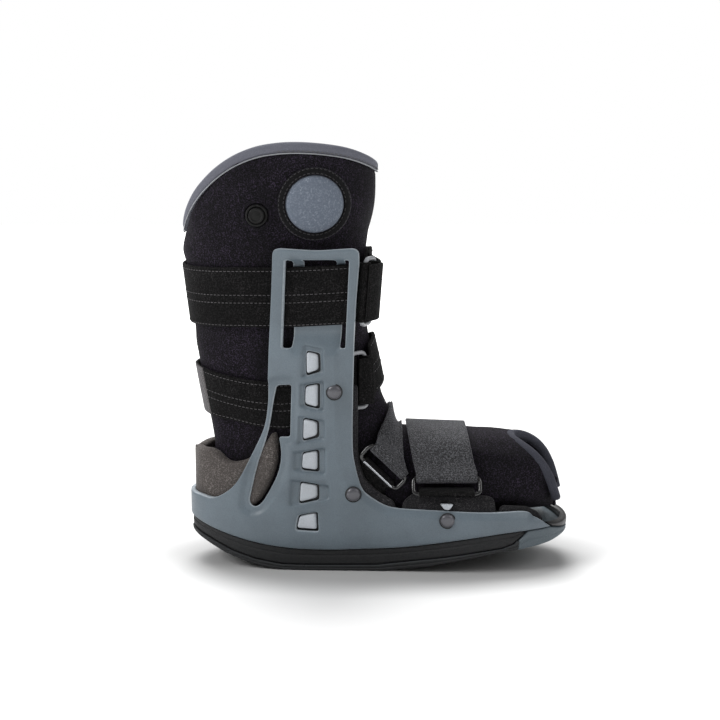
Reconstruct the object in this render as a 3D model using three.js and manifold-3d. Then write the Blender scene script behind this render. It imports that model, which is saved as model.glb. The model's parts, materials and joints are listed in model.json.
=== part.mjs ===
// Medical walking boot, short model, right side profile. Millimetres, +Z up, +X towards the toe.
// The pump and the strap rings are on the -Y side. The sole stands on z = 0.
import * as THREE from 'three';
import { mergeVertices } from 'three/addons/utils/BufferGeometryUtils.js';
import Module from 'manifold-3d';

const wasm = await Module();
wasm.setup();

// Overall sizes of the shell and sole
const soleLength = 295;
const soleWidth = 108;
const heelX = -145.6;
const uprightHeight = 250;
const ankleWidth = 98;
const calfWidth = 130;

// Wall thicknesses and running clearance
const shellWall = 3.5;
const panelWall = 2.7;
const insertWall = 1.5;
const linerWall = 2.6;
const collarWall = 5;
const bootieWall = 6;
const gap = 0.3;

// Bootie
const cuffPeak = 321;
const calfDepth = 141;
const cuffWidth = 120;
const instepHeight = 104;
const mouthLag = 0.12;
const bindingWidth = 7.4;
const bindingHeight = 6;
const mouthBindingHeight = 7;
const bindingSeat = 1.1;

// Straps and rings
const strapThickness = 2.2;
const upperStrapWidth = 45;
const lowerStrapWidth = 37;
const instepStrapWidth = 34;
const toeStrapWidth = 46;
const wire = 3.2;
const ringWindow = 9.5;
const anchorThickness = 1.6;

// Small hardware
const rivetRadius = 5.3;
const rivetShank = 2.6;
const rivetRise = 2.2;
const pumpRadius = 21;
const pumpRise = 3.2;
const pumpRingWidth = 4.6;
const pumpRingRise = 1.8;
const valveRadius = 8;
const valveRise = 6.5;
const valveBore = 6.1;
const buttonRadius = 5.7;
const buttonProud = 1.8;
const buttonTravel = 1.5;
const blockRelief = 0.8;
const blockClearance = 0.5;
const clipWidth = 10;

// What the layers between shell and bootie add up to
const insertDepth = shellWall + gap;
const linerDepth = shellWall + gap;
const strapDepth = shellWall + 2 * gap;
const panelDepth = strapDepth + strapThickness + 2 * gap;
const bootieDepth = panelDepth + panelWall + gap;
const anchorDepth = linerDepth + linerWall + 4 * gap;

const reach = calfWidth * 1.5;
const arcSteps = 14;

const sx = (s) => heelX + s * soleLength;
const sz = (t) => t * uprightHeight;

// Smooth curve through a short table of rows [position, value]
function through(rows) {
  const cubic = new THREE.CubicInterpolant(rows.map((r) => r[0]), rows.map((r) => r[1]), 1);
  return (x) => cubic.evaluate(x)[0];
}

const smooth = THREE.MathUtils.smoothstep;
const lerp = THREE.MathUtils.lerp;

// Solids and booleans
function solidOf(geometry) {
  geometry.deleteAttribute('normal');
  geometry.deleteAttribute('uv');
  const merged = mergeVertices(geometry, 1e-4);
  const solid = new wasm.Manifold(new wasm.Mesh({
    numProp: 3,
    vertProperties: new Float32Array(merged.attributes.position.array),
    triVerts: new Uint32Array(merged.index.array),
  }));
  return solid;
}

function geometryOf(solid) {
  const mesh = solid.getMesh();
  const geometry = new THREE.BufferGeometry();
  geometry.setAttribute('position', new THREE.BufferAttribute(new Float32Array(mesh.vertProperties), 3));
  geometry.setIndex(new THREE.BufferAttribute(new Uint32Array(mesh.triVerts), 1));
  geometry.computeVertexNormals();
  return geometry;
}

// Closed solid from rings of points; the rings join in order, ends are capped unless looped
function loft(rings, looped = false) {
  const n = rings[0].length;
  const positions = rings.flat().flatMap((p) => [p.x, p.y, p.z]);
  const index = [];
  const last = looped ? rings.length : rings.length - 1;
  for (let i = 0; i < last; i += 1) {
    const a = i * n;
    const b = ((i + 1) % rings.length) * n;
    for (let j = 0; j < n; j += 1) {
      const k = (j + 1) % n;
      index.push(a + j, a + k, b + k, a + j, b + k, b + j);
    }
  }
  if (!looped) {
    const end = (rings.length - 1) * n;
    for (let j = 1; j < n - 1; j += 1) {
      index.push(0, j + 1, j, end, end + j, end + j + 1);
    }
  }
  let volume = 0;
  const at = (i) => new THREE.Vector3().fromArray(positions, i * 3);
  for (let i = 0; i < index.length; i += 3) {
    volume += at(index[i]).dot(at(index[i + 1]).cross(at(index[i + 2])));
  }
  if (volume < 0) index.reverse();
  const geometry = new THREE.BufferGeometry();
  geometry.setAttribute('position', new THREE.Float32BufferAttribute(positions, 3));
  geometry.setIndex(index);
  return geometry;
}

// Prism of a side-view shape (x, z), from y0 to y1
function prism(shape, y0 = -reach, y1 = reach) {
  const depth = y1 - y0;
  const geometry = new THREE.ExtrudeGeometry(shape, { depth, bevelEnabled: false, curveSegments: 2 });
  geometry.rotateX(Math.PI / 2);
  geometry.translate(0, y1, 0);
  return solidOf(geometry);
}

// Side-view point from shares of the sole length and the upright height
const sidePoint = ([s, t]) => new THREE.Vector2(sx(s), sz(t));
const polygon = (rows) => new THREE.Shape(rows.map(sidePoint));

const lineTo = (shape, rows, lift = 0) => rows.forEach(([s, t]) => shape.lineTo(sx(s), sz(t) + lift));
function tracePath(shape, rows) {
  shape.splineThru(rows.map(sidePoint));
  return shape;
}

// Half width of the sole in plan: a blunt oval times a fullness that peaks at the ball of the foot
const ovalPower = 2.4;
const fullness = through([[0, 0.96], [0.11, 0.93], [0.2, 0.91], [0.36, 0.867], [0.53, 0.89],
  [0.65, 0.98], [0.75, 1.09], [0.83, 1.145], [0.9, 1.2], [0.95, 1.26], [1, 1.3]]);
const oval = (u) => (1 - Math.min(1, Math.abs(u)) ** ovalPower) ** (1 / ovalPower);
const endWidth = 1.5;
const soleHalf = (s) => Math.max(endWidth, (soleWidth / 2) * fullness(s) * oval(2 * s - 1));

// Half width of the uprights, which widen from the ankle to the calf
const legShare = through([[0, 0.08], [0.014, 0.35], [0.05, 0.59], [0.11, 0.76], [0.2, 0.93],
  [0.25, 0.98], [0.29, 0.995], [0.36, 1], [0.43, 0.995], [0.48, 0.98], [0.6, 0.94], [1, 0.9]]);
const ankleAt = 0.38;
const footTop = 0.2;
const legHalf = (t) => lerp(ankleWidth / 2, calfWidth / 2, (t - ankleAt) / (1 - ankleAt));
const shellHalf = (s, t) => lerp(soleHalf(s), legHalf(t) * legShare(s), smooth(t, footTop, ankleAt));

// Solid whose sides lie a given depth inside the shell's outer face
const planStations = [0, 0.01, 0.035, 0.075, 0.12, 0.165, 0.21, 0.25, 0.29, 0.36, 0.43, 0.48, 0.54, 0.62, 0.7,
  0.78, 0.85, 0.91, 0.955, 0.985, 1];
const shellRows = [0.0, 0.07, 0.14, footTop, 0.245, 0.29, 0.335, ankleAt, 1.04];
const tuckDepth = 5;
const soleTuck = (t) => tuckDepth * (1 - smooth(t, -0.03, 0.13));
function inside(depth, rows = shellRows, shift = () => 0, stations = planStations) {
  const rings = rows.map((t) => {
    const inset = depth + soleTuck(t) + shift(t);
    const endInset = (s) => (s < 0.5 ? inset : Math.min(inset, bootieDepth));
    const side = stations.map((s) => new THREE.Vector3(
      sx(s) + endInset(s) * (1 - 2 * s), -Math.max(endWidth * 0.6, shellHalf(s, t) - inset), sz(t)));
    const far = side.map((p) => new THREE.Vector3(p.x, -p.y, p.z)).reverse();
    return side.concat(far);
  });
  return solidOf(loft(rings));
}
const layer = (outer, inner, rows, shift) => inside(outer, rows, shift).subtract(inside(inner, rows, shift));

// Side profiles of the shell
const lowerEdge = [[0, 0.149], [0.031, 0.136], [0.09, 0.113], [0.165, 0.09], [0.255, 0.074], [0.347, 0.069],
  [0.456, 0.073], [0.553, 0.08], [0.635, 0.094], [0.753, 0.118], [0.83, 0.129], [0.945, 0.136]];
const sideEdge = [[0.945, 0.137], [0.908, 0.17], [0.878, 0.192], [0.789, 0.194], [0.635, 0.199],
  [0.554, 0.202], [0.517, 0.21], [0.477, 0.236], [0.453, 0.264], [0.438, 0.32], [0.429, 0.392],
  [0.43, 0.56], [0.433, 0.688], [0.439, 0.836], [0.447, 0.955]];
const rearEdge = [[0.231, 0.96], [0.227, 0.86], [0.219, 0.7], [0.214, 0.582], [0.207, 0.494],
  [0.195, 0.438], [0.168, 0.366], [0.141, 0.298], [0.112, 0.252], [0.069, 0.22], [0.002, 0.222],
  [-0.03, 0.222]];
const lowerLine = through(lowerEdge);
const rearLine = through(rearEdge.slice(0, 9).map(([s, t]) => [t, s]).reverse());
const frontLine = through(sideEdge.slice(7).map(([s, t]) => [t, s]));
const cornerShare = 0.02;

function shellProfile() {
  const shape = new THREE.Shape();
  shape.moveTo(sx(-0.03), sz(0.155));
  lineTo(shape, lowerEdge);
  tracePath(shape, sideEdge);
  const [front, rear] = [sideEdge.at(-1)[0], rearEdge[0][0]];
  shape.quadraticCurveTo(sx(front), sz(1), sx(front - cornerShare), sz(1));
  shape.lineTo(sx((front + rear) / 2), sz(0.992));
  shape.lineTo(sx(rear + cornerShare), sz(1));
  shape.quadraticCurveTo(sx(rear), sz(1), sx(rear), sz(rearEdge[0][1]));
  tracePath(shape, rearEdge.slice(1));
  return shape;
}

// Everything above a line parallel to the shell's lower edge
function aboveFloor(lift) {
  const shape = new THREE.Shape();
  shape.moveTo(sx(-0.1), sz(1.5));
  shape.lineTo(sx(-0.1), sz(lowerEdge[0][1]) + lift);
  lineTo(shape, lowerEdge, lift);
  shape.lineTo(sx(1.1), sz(lowerEdge.at(-1)[1]) + lift);
  shape.lineTo(sx(1.1), sz(1.5));
  return prism(shape);
}

// Belt frame: an open frame with a sunk panel that the upper strap crosses
const frameRear = 0.258;
const frameFront = 0.425;
const frameSill = 0.7;
const frameHead = 0.965;
const panelRear = 0.287;
const panelFront = 0.392;
const panelFoot = 0.67;
const panelSunk = 0.745;
const tabWidth = 0.02;
const tabDrop = 0.045;
const panelRise = 0.955;
const panelShift = (t) => panelDepth * (smooth(t, panelFoot, panelSunk) - smooth(t, panelRise, 1));
const panelRows = [0.6, panelFoot, 0.688, 0.708, 0.727, panelSunk, panelRise, 0.97, 0.985, 1.0];

function sunkPanel() {
  const plate = prism(polygon([[panelRear, panelFoot - 0.01], [panelFront, panelFoot - 0.01],
    [panelFront, frameHead + 0.01], [panelRear, frameHead + 0.01]]));
  const opening = prism(polygon([[panelRear + tabWidth, frameHead - tabDrop],
    [panelFront - tabWidth, frameHead - tabDrop], [panelFront - tabWidth, frameHead],
    [panelRear + tabWidth, frameHead]]));
  return layer(0, panelWall, panelRows, panelShift).intersect(plate).subtract(opening);
}

// Window columns: six four-sided blocks up each upright, corners rear-top, front-top, front-foot, rear-foot
const windows = [
  [[0.29, 0.177], [0.335, 0.188], [0.337, 0.133], [0.283, 0.137]],
  [[0.294, 0.282], [0.337, 0.273], [0.337, 0.232], [0.29, 0.218]],
  [[0.3, 0.375], [0.338, 0.384], [0.338, 0.32], [0.297, 0.326]],
  [[0.303, 0.484], [0.338, 0.474], [0.338, 0.43], [0.301, 0.417]],
  [[0.309, 0.584], [0.341, 0.592], [0.34, 0.518], [0.307, 0.529]],
  [[0.312, 0.69], [0.342, 0.682], [0.343, 0.634], [0.312, 0.621]],
];

// Block outline grown or shrunk about its middle by a length
function windowShape(corners, grow) {
  const points = corners.map(sidePoint);
  const middle = points.reduce((sum, p) => sum.add(p), new THREE.Vector2()).divideScalar(points.length);
  return new THREE.Shape(points.map((p) => new THREE.Vector2(
    p.x + grow * Math.sign(p.x - middle.x), p.y + grow * Math.sign(p.y - middle.y))));
}

// Long strap slot running down into a drop-shaped opening
function slotShape() {
  const shape = new THREE.Shape();
  shape.moveTo(sx(0.234), sz(0.585));
  shape.lineTo(sx(0.272), sz(0.588));
  shape.lineTo(sx(0.267), sz(0.425));
  shape.lineTo(sx(0.238), sz(0.425));
  tracePath(shape, [[0.243, 0.365], [0.233, 0.306], [0.211, 0.252], [0.189, 0.212], [0.17, 0.2],
    [0.157, 0.215], [0.164, 0.259], [0.179, 0.331], [0.202, 0.411], [0.214, 0.464], [0.225, 0.538]]);
  return shape;
}

const rivets = [{ s: 0.3843, t: 0.567 }, { s: 0.432, t: 0.246 }, { s: 0.673, t: 0.17 }];
const sides = [{ tag: 'near', sign: -1 }, { tag: 'far', sign: 1 }];

function cylinderY(radius, y0, y1, x, z, steps = arcSteps) {
  const geometry = new THREE.CylinderGeometry(radius, radius, Math.abs(y1 - y0), steps);
  geometry.translate(x, (y0 + y1) / 2, z);
  return solidOf(geometry);
}

function makeShell() {
  let body = inside(0).intersect(prism(shellProfile()));
  body = body.subtract(inside(shellWall).intersect(aboveFloor(shellWall)));
  const frameHole = polygon([[frameRear - 0.012, frameSill], [frameFront - 0.012, frameSill],
    [frameFront, frameHead], [frameRear, frameHead]]);
  body = body.subtract(prism(frameHole));
  const column = polygon([[panelRear, panelFoot], [panelFront, panelFoot], [panelFront, 0.99],
    [panelRear, 0.99]]);
  const outerSkin = prism(column).subtract(inside(shellWall + gap));
  body = body.subtract(outerSkin.intersect(prism(polygon([[panelRear, panelFoot], [panelFront, panelFoot],
    [panelFront, frameHead - 0.002], [panelRear, frameHead - 0.002]]))));
  body = body.add(sunkPanel());
  windows.forEach((corners) => {
    body = body.subtract(prism(windowShape(corners, blockClearance)));
  });
  body = body.subtract(prism(slotShape()));
  sides.forEach(({ sign }) => rivets.forEach(({ s, t }) => {
    body = body.subtract(cylinderY(rivetShank + gap, 0, sign * reach, sx(s), sz(t), 10));
  }));
  return body;
}

// Light insert strip behind the windows, with a block standing in each
const insertRear = 0.278;
const insertFront = 0.352;
const insertTop = 0.695;
function makeInsert(sign) {
  const y0 = Math.min(0, sign * reach);
  const y1 = Math.max(0, sign * reach);
  const strip = prism(polygon([[insertRear, 0.105], [insertFront, 0.105], [insertFront, insertTop],
    [insertRear, insertTop]]), y0, y1);
  const rows = [0.07, 0.14, footTop, 0.245, 0.29, 0.335, ankleAt, panelFoot, 0.708];
  let body = layer(insertDepth, insertDepth + insertWall, rows, panelShift).intersect(strip);
  const standing = layer(blockRelief, insertDepth + insertWall / 2, rows, panelShift);
  windows.forEach((corners) => {
    body = body.add(standing.intersect(prism(windowShape(corners, 0), y0, y1)));
  });
  return body;
}

// Sole: dark midsole over a thin outsole that wraps up at the toe
const midsoleFoot = [[-0.02, 0.112], [0.007, 0.107], [0.051, 0.086], [0.109, 0.053], [0.164, 0.032],
  [0.237, 0.018], [0.3, 0.017], [0.493, 0.02], [0.673, 0.05], [0.753, 0.068], [0.823, 0.08],
  [0.848, 0.091], [0.878, 0.122]];
const outsoleFoot = [[-0.02, 0.11], [0.014, 0.089], [0.051, 0.066], [0.089, 0.042], [0.146, 0.018],
  [0.201, 0.005], [0.248, 0], [0.507, 0], [0.629, 0.018], [0.759, 0.054], [0.807, 0.067], [0.875, 0.073],
  [0.919, 0.08], [0.947, 0.086], [0.979, 0.096], [1.02, 0.104]];
const wrapTop = [[1.02, 0.112], [1, 0.114], [0.978, 0.122], [0.945, 0.136]];
const guardTop = [[0.945, 0.146], [0.97, 0.143], [1.02, 0.139]];
const guardWall = 5;

function makeMidsole() {
  const shape = new THREE.Shape();
  shape.moveTo(sx(-0.02), sz(0.1485) - gap);
  lineTo(shape, midsoleFoot);
  lineTo(shape, lowerEdge.filter(([s]) => s < 0.87).reverse(), -gap);
  return inside(1.4).intersect(prism(shape));
}

function makeOutsole() {
  const shape = new THREE.Shape();
  shape.moveTo(sx(-0.02), sz(midsoleFoot[0][1]) - gap);
  lineTo(shape, outsoleFoot);
  lineTo(shape, wrapTop, -gap);
  lineTo(shape, lowerEdge.filter(([s]) => s > 0.88 && s < 0.94).reverse(), -gap);
  shape.lineTo(sx(midsoleFoot.at(-1)[0]) + gap, sz(0.1315) - gap);
  lineTo(shape, midsoleFoot.slice(1).reverse().map(([s, t]) => [s + 0.001, t]), -gap);
  return inside(0.4).intersect(prism(shape));
}

function makeToeGuard() {
  const shape = new THREE.Shape();
  shape.moveTo(sx(0.946), sz(0.1365));
  lineTo(shape, guardTop);
  lineTo(shape, wrapTop.slice(0, 3));
  return layer(0.4, 0.4 + guardWall).intersect(prism(shape));
}

// Foam liner: side walls and floor inside the shell, with tabs standing above its edge
const linerEdge = [[0.94, 0.152], [0.922, 0.184], [0.889, 0.204], [0.823, 0.212], [0.815, 0.188],
  [0.808, 0.188], [0.803, 0.232], [0.788, 0.242], [0.584, 0.243], [0.565, 0.224], [0.556, 0.188],
  [0.544, 0.188], [0.54, 0.219],
  [0.493, 0.252], [0.459, 0.292], [0.446, 0.34], [0.441, 0.392], [0.442, 0.5], [0.441, 0.585]];
const linerRear = 0.365;

function makeLiner() {
  const shape = new THREE.Shape();
  shape.moveTo(sx(0.165), sz(lowerLine(0.165)) + shellWall + gap);
  lineTo(shape, lowerEdge.filter(([s]) => s > 0.2 && s < 0.94), shellWall + gap);
  lineTo(shape, linerEdge);
  shape.lineTo(sx(linerRear), sz(0.585));
  const floorRows = [linerRear, 0.3, 0.25, 0.2, 0.165].map((s) => [s, lowerLine(s)]);
  lineTo(shape, floorRows, shellWall + gap + linerWall);
  return inside(linerDepth).intersect(prism(shape))
    .subtract(inside(linerDepth + linerWall).intersect(aboveFloor(shellWall + gap + linerWall)));
}

// Foam heel collar, a band round the heel from one drop-shaped opening to the other
const collarEdge = [[-0.03, 0.356], [0.048, 0.364], [0.092, 0.332], [0.131, 0.339], [0.165, 0.362],
  [0.2, 0.41], [0.2135, 0.432], [0.223, 0.424], [0.226, 0.373], [0.219, 0.32], [0.197, 0.256], [0.171, 0.212],
  [0.15, 0.19], [-0.03, 0.19]];

function makeCollar() {
  return layer(linerDepth, linerDepth + collarWall).intersect(prism(polygon(collarEdge)));
}

// Bootie, leg part: oval sections from heel to cuff; back and front as shares of the calf depth
const legPower = 2.3;
const legBack = through([[0.06, 0.2], [0.1, 0.135], [0.19, 0.115], [0.27, 0.15], [0.34, 0.13], [0.49, 0.072],
  [0.524, 0.062], [0.58, 0.05], [0.663, 0.034], [0.725, 0.014], [0.753, -0.009], [0.79, 0.002],
  [0.9, 0.002], [1.02, 0.004]]);
const legFront = through([[0.06, 0.62], [0.19, 0.85], [0.27, 1.07], [0.34, 1.14], [0.4, 1.085], [0.45, 1.055],
  [0.5, 1.032], [0.55, 1.005], [0.592, 0.992], [0.76, 0.989], [0.83, 1.02], [0.92, 1.045], [0.96, 1.048],
  [1.02, 1.048]]);
const calfBackX = -147.6;
function legSection(z) {
  const t = z / cuffPeak;
  const back = calfBackX + legBack(t) * calfDepth;
  const front = calfBackX + legFront(t) * calfDepth;
  const upright = z / uprightHeight;
  const inShell = shellHalf(0.28, upright) - bootieDepth;
  const half = lerp(inShell, cuffWidth / 2, smooth(upright, 1.0, 1.12));
  return { middle: (back + front) / 2, depth: (front - back) / 2, half };
}

const ovalPoint = (power, angle) => [
  Math.sign(Math.cos(angle)) * Math.abs(Math.cos(angle)) ** (2 / power),
  Math.sign(Math.sin(angle)) * Math.abs(Math.sin(angle)) ** (2 / power),
];

// Point on the leg's outside; angle 0 is the front, 90 degrees the far side, 180 the back
function legPoint(angle, z, out = 0) {
  const { middle, depth, half } = legSection(z);
  const [u, v] = ovalPoint(legPower, angle);
  return new THREE.Vector3(middle + u * (depth + out), v * (half + out), z);
}

// Bootie, foot part: oval sections from the ankle to past the mouth
const footPower = 2.4;
const footCrown = through([[0.2, 0.9], [0.4, 1.02], [0.5, 1.02], [0.6, 1.0], [0.72, 0.99], [0.8, 0.97],
  [0.86, 0.95], [0.9, 0.93], [0.95, 0.88], [1, 0.8]]);
const floorStack = shellWall + gap + linerWall + gap;
function footSection(s) {
  const bottom = sz(lowerLine(Math.min(s, 0.945))) + floorStack;
  const top = footCrown(s) * instepHeight;
  const half = Math.max(endWidth, soleHalf(s) - bootieDepth);
  return { middle: (bottom + top) / 2, rise: (top - bottom) / 2, half };
}

// Point on the foot's outside; angle 90 degrees is the top, 180 the near side
function footPoint(angle, s, out = 0) {
  const { middle, rise, half } = footSection(s);
  const [u, v] = ovalPoint(footPower, angle);
  return new THREE.Vector3(sx(s), u * (half + out), middle + v * (rise + out));
}

const legSteps = 28;
const footSteps = 20;
const legRows = [0.075, 0.13, 0.21, 0.3, 0.36, 0.43, 0.54, 0.65, 0.725, 0.753, 0.79, 0.88, 1.02];
const footRows = [0.19, 0.33, 0.5, 0.63, 0.75, 0.83, 0.89, 0.94, 0.97, 0.995];

// Above these heights only the leg's own sections shape the bootie
const guardFoot = 0.45;
const guardHead = 0.53;
function bootieForm(inset, coarseness = 1) {
  const around = legSteps / coarseness;
  const round = footSteps / coarseness;
  const heights = legRows.filter((_, i) => i % coarseness === 0);
  const leg = loft(heights.map((t) => Array.from({ length: around }, (_, j) =>
    legPoint((2 * Math.PI * j) / around, t * cuffPeak, -inset))));
  const foot = loft(footRows.map((s) => Array.from({ length: round }, (_, j) =>
    footPoint((2 * Math.PI * j) / round, s, -inset))));
  const guardRows = shellRows.slice(0, -1).concat([guardFoot, guardHead, 1.4]);
  const widening = (t) => -bootieDepth * 1.6 * smooth(t, guardFoot, guardHead);
  const guard = inside(bootieDepth + inset, guardRows, widening, planStations.filter((_, i) => i % 2 === 0));
  return solidOf(leg).add(solidOf(foot)).intersect(guard).intersect(aboveFloor(floorStack + inset));
}

// Cuff line as shares of the calf depth and the cuff peak, high at the front and low at the back
const cuffRows = [[-0.06, 0.69], [0, 0.77], [0.04, 0.82], [0.1, 0.868], [0.175, 0.906], [0.29, 0.945],
  [0.42, 0.97], [0.53, 0.979], [0.64, 0.981], [0.78, 0.977], [0.88, 0.97], [0.96, 0.959],
  [1.02, 0.946], [1.12, 0.91]];
const cuffLine = through(cuffRows);
const cuffHeight = (x) => cuffLine((x - calfBackX) / calfDepth) * cuffPeak;

// Mouth line at the toe, from the instep down to the sole, as shares of sole length and upright height
const mouthRows = [[0.76, 0.44], [0.8, 0.4], [0.848, 0.378], [0.885, 0.354], [0.912, 0.324], [0.934, 0.282],
  [0.95, 0.228], [0.961, 0.172], [0.966, 0.13], [0.968, 0.05]];
const mouthLine = through([...mouthRows].reverse().map(([s, t]) => [t, s]));
const mouthTurn = Math.atan(mouthLag);
const mouthPivotY = -25;

function cuffCut() {
  const shape = new THREE.Shape();
  const [first, last] = [cuffRows[0][0], cuffRows.at(-1)[0]];
  shape.moveTo(calfBackX + first * calfDepth, cuffPeak * 1.6);
  for (let i = 0; i <= 36; i += 1) {
    const x = calfBackX + lerp(first, last, i / 36) * calfDepth;
    shape.lineTo(x, cuffHeight(x));
  }
  shape.lineTo(calfBackX + last * calfDepth, cuffPeak * 1.6);
  return prism(shape);
}

function mouthCut() {
  const shape = new THREE.Shape();
  shape.moveTo(sx(1.3), sz(0.6));
  shape.lineTo(sx(mouthRows[0][0]), sz(0.6));
  for (let i = 0; i <= 18; i += 1) {
    const rise = lerp(mouthRows[0][1], mouthRows.at(-1)[1], i / 18);
    shape.lineTo(sx(mouthLine(rise)), sz(rise));
  }
  shape.lineTo(sx(1.3), sz(0.05));
  const pivot = sx(0.9);
  return prism(shape).translate([-pivot, -mouthPivotY, 0])
    .rotate([0, 0, (-mouthTurn * 180) / Math.PI]).translate([pivot, mouthPivotY, 0]);
}

const valveSpot = { s: 0.1956, h: 0.8514 };
const pumpSpot = { s: 0.3378, h: 0.8813 };
const valveX = sx(valveSpot.s);
const valveZ = valveSpot.h * cuffPeak;
const pumpX = sx(pumpSpot.s);
const pumpZ = pumpSpot.h * cuffPeak;
const nearY = (x, z) => {
  const { middle, depth, half } = legSection(z);
  return -half * (1 - Math.abs((x - middle) / depth) ** legPower) ** (1 / legPower);
};
const valveSeat = nearY(valveX, valveZ) + 1.8;

// The padding gives way under the straps and bindings, each with its clearance
function makeBootie(pressedBy) {
  const seat = cylinderY(valveRadius + gap, valveSeat, -reach, valveX, valveZ, 20);
  const hollow = bootieForm(0).subtract(bootieForm(bootieWall, 2));
  let body = hollow.subtract(cuffCut()).subtract(mouthCut()).subtract(seat);
  pressedBy.forEach((piece) => {
    body = body.subtract(solidOf(piece));
  });
  return body.decompose().sort((a, b) => b.volume() - a.volume())[0];
}

// Tube of a given oval section along points, with its long axis along the side vectors
function sweep(points, outward, section, looped) {
  const n = points.length;
  const rings = points.map((p, i) => {
    const before = points[looped ? (i + n - 1) % n : Math.max(0, i - 1)];
    const after = points[looped ? (i + 1) % n : Math.min(n - 1, i + 1)];
    const along = after.clone().sub(before).normalize();
    const across = along.clone().cross(outward[i]).normalize();
    const out = across.clone().cross(along);
    return section.map(([a, b]) => p.clone().addScaledVector(out, a).addScaledVector(across, b));
  });
  return loft(rings, looped);
}

const ovalSection = (a, b, n, lift = 0) => Array.from({ length: n }, (_, i) => {
  const angle = (2 * Math.PI * (i + 0.5)) / n;
  return [a * Math.cos(angle), b * Math.sin(angle) + lift];
});

// Padded bindings that cap the two rims
const bindingSteps = 40;
function makeCuffBinding(grown = 0) {
  const points = [];
  const outward = [];
  for (let i = 0; i < bindingSteps; i += 1) {
    const angle = (2 * Math.PI * i) / bindingSteps;
    let z = cuffPeak * 0.95;
    for (let k = 0; k < 30; k += 1) z = lerp(z, cuffHeight(legPoint(angle, z, -bootieWall / 2).x), 0.6);
    const p = legPoint(angle, z, -bootieWall / 2);
    outward.push(legPoint(angle, z).sub(p).normalize());
    points.push(p);
  }
  const rise = bindingHeight / 2;
  const section = ovalSection(bindingWidth / 2 + grown, rise + grown, 6, -rise - bindingSeat);
  return sweep(points, outward, section, true);
}

const mouthBindingSteps = 22;
const mouthBindingLow = -0.19 * Math.PI;
function makeMouthBinding(grown = 0) {
  const points = [];
  const outward = [];
  for (let i = 0; i <= mouthBindingSteps; i += 1) {
    const angle = lerp(Math.PI - mouthBindingLow, mouthBindingLow, i / mouthBindingSteps);
    let s = 0.93;
    for (let k = 0; k < 60; k += 1) {
      const p = footPoint(angle, s, -bootieWall / 2);
      s = lerp(s, mouthLine(p.z / uprightHeight) + (mouthLag * (p.y - mouthPivotY)) / soleLength, 0.25);
    }
    const p = footPoint(angle, s, -bootieWall / 2);
    outward.push(footPoint(angle, s).sub(p).normalize());
    points.push(p);
  }
  const rise = mouthBindingHeight / 2;
  const section = ovalSection(bindingWidth / 2 + grown, rise + grown, 6, rise + bindingSeat);
  return sweep(points, outward, section, false);
}

// Flat strap through lines of points that run side by side, with square edges
function ribbon(lines, thickness) {
  const low = lines[0];
  const high = lines.at(-1);
  const rings = low.map((p, i) => {
    const a = Math.max(0, i - 1);
    const b = Math.min(low.length - 1, i + 1);
    const along = low[b].clone().add(high[b]).sub(low[a]).sub(high[a]).normalize();
    const across = high[i].clone().sub(p).normalize();
    const out = along.cross(across).normalize().multiplyScalar(thickness / 2);
    const outer = lines.map((line) => line[i].clone().add(out));
    const inner = lines.map((line) => line[i].clone().sub(out)).reverse();
    return outer.concat(inner);
  });
  return loft(rings);
}

// The room a strap takes: the strap grown by its clearance on its faces and edges
function strapRoom(lines, thickness) {
  const grown = lines.map((line, k) => line.map((p, i) => {
    const across = lines.at(-1)[i].clone().sub(lines[0][i]).normalize();
    return p.clone().addScaledVector(across, (k - (lines.length - 1) / 2) * 2 * gap);
  }));
  return ribbon(grown, thickness + 2.4 * gap);
}

// Distance from a point to the bootie's outside along a direction
const bothFaces = new THREE.MeshBasicMaterial({ side: THREE.DoubleSide });
const bootieSkin = new THREE.Mesh(geometryOf(bootieForm(0)), bothFaces);
const caster = new THREE.Raycaster();
function skinFrom(origin, direction) {
  caster.set(origin, direction);
  return caster.intersectObject(bootieSkin)[0].distance;
}

const vec = (x, y, z) => new THREE.Vector3(x, y, z);
const lay = strapThickness / 2 + 2.5 * gap;
const foldRadius = wire / 2 + gap + strapThickness / 2;
const anchorRadius = wire / 2 + gap + anchorThickness / 2;
const steps = (count, from, to, make) =>
  Array.from({ length: count + 1 }, (_, i) => make(lerp(from, to, i / count)));
const degrees = THREE.MathUtils.degToRad;

// Points round a bar: angle 0 points along the ring's short way, 90 degrees outwards
const roundBar = (bar, radius, from, to, count = 8) => steps(count, degrees(from), degrees(to), (a) =>
  bar.at.clone().addScaledVector(bar.along, radius * Math.cos(a))
    .addScaledVector(bar.out, radius * Math.sin(a)));

// Two bars of a ring at one edge of the strap: the first is anchored, the strap folds round the second
function barsFrom(first, along, out) {
  const second = first.clone().addScaledVector(along, ringWindow + wire);
  return [{ at: first, along, out }, { at: second, along, out }];
}

// Rectangular wire ring round the bars, with round corners
function makeRing(low, high) {
  const past = wire / 2 + 2 * gap;
  const lengthwise = high[0].at.clone().sub(low[0].at).normalize();
  const corners = [low[0], low[1], high[1], high[0]].map((bar, i) =>
    bar.at.clone().addScaledVector(lengthwise, i < 2 ? -past : past));
  const points = corners.flatMap((corner, i) => {
    const before = corners[(i + 3) % 4].clone().sub(corner).normalize().multiplyScalar(wire);
    const after = corners[(i + 1) % 4].clone().sub(corner).normalize().multiplyScalar(wire);
    const [start, end] = [corner.clone().add(before), corner.clone().add(after)];
    return new THREE.QuadraticBezierCurve3(start, corner, end).getPoints(2);
  });
  return sweep(points, points.map(() => low[0].out), ovalSection(wire / 2, wire / 2, 6), true);
}

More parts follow.
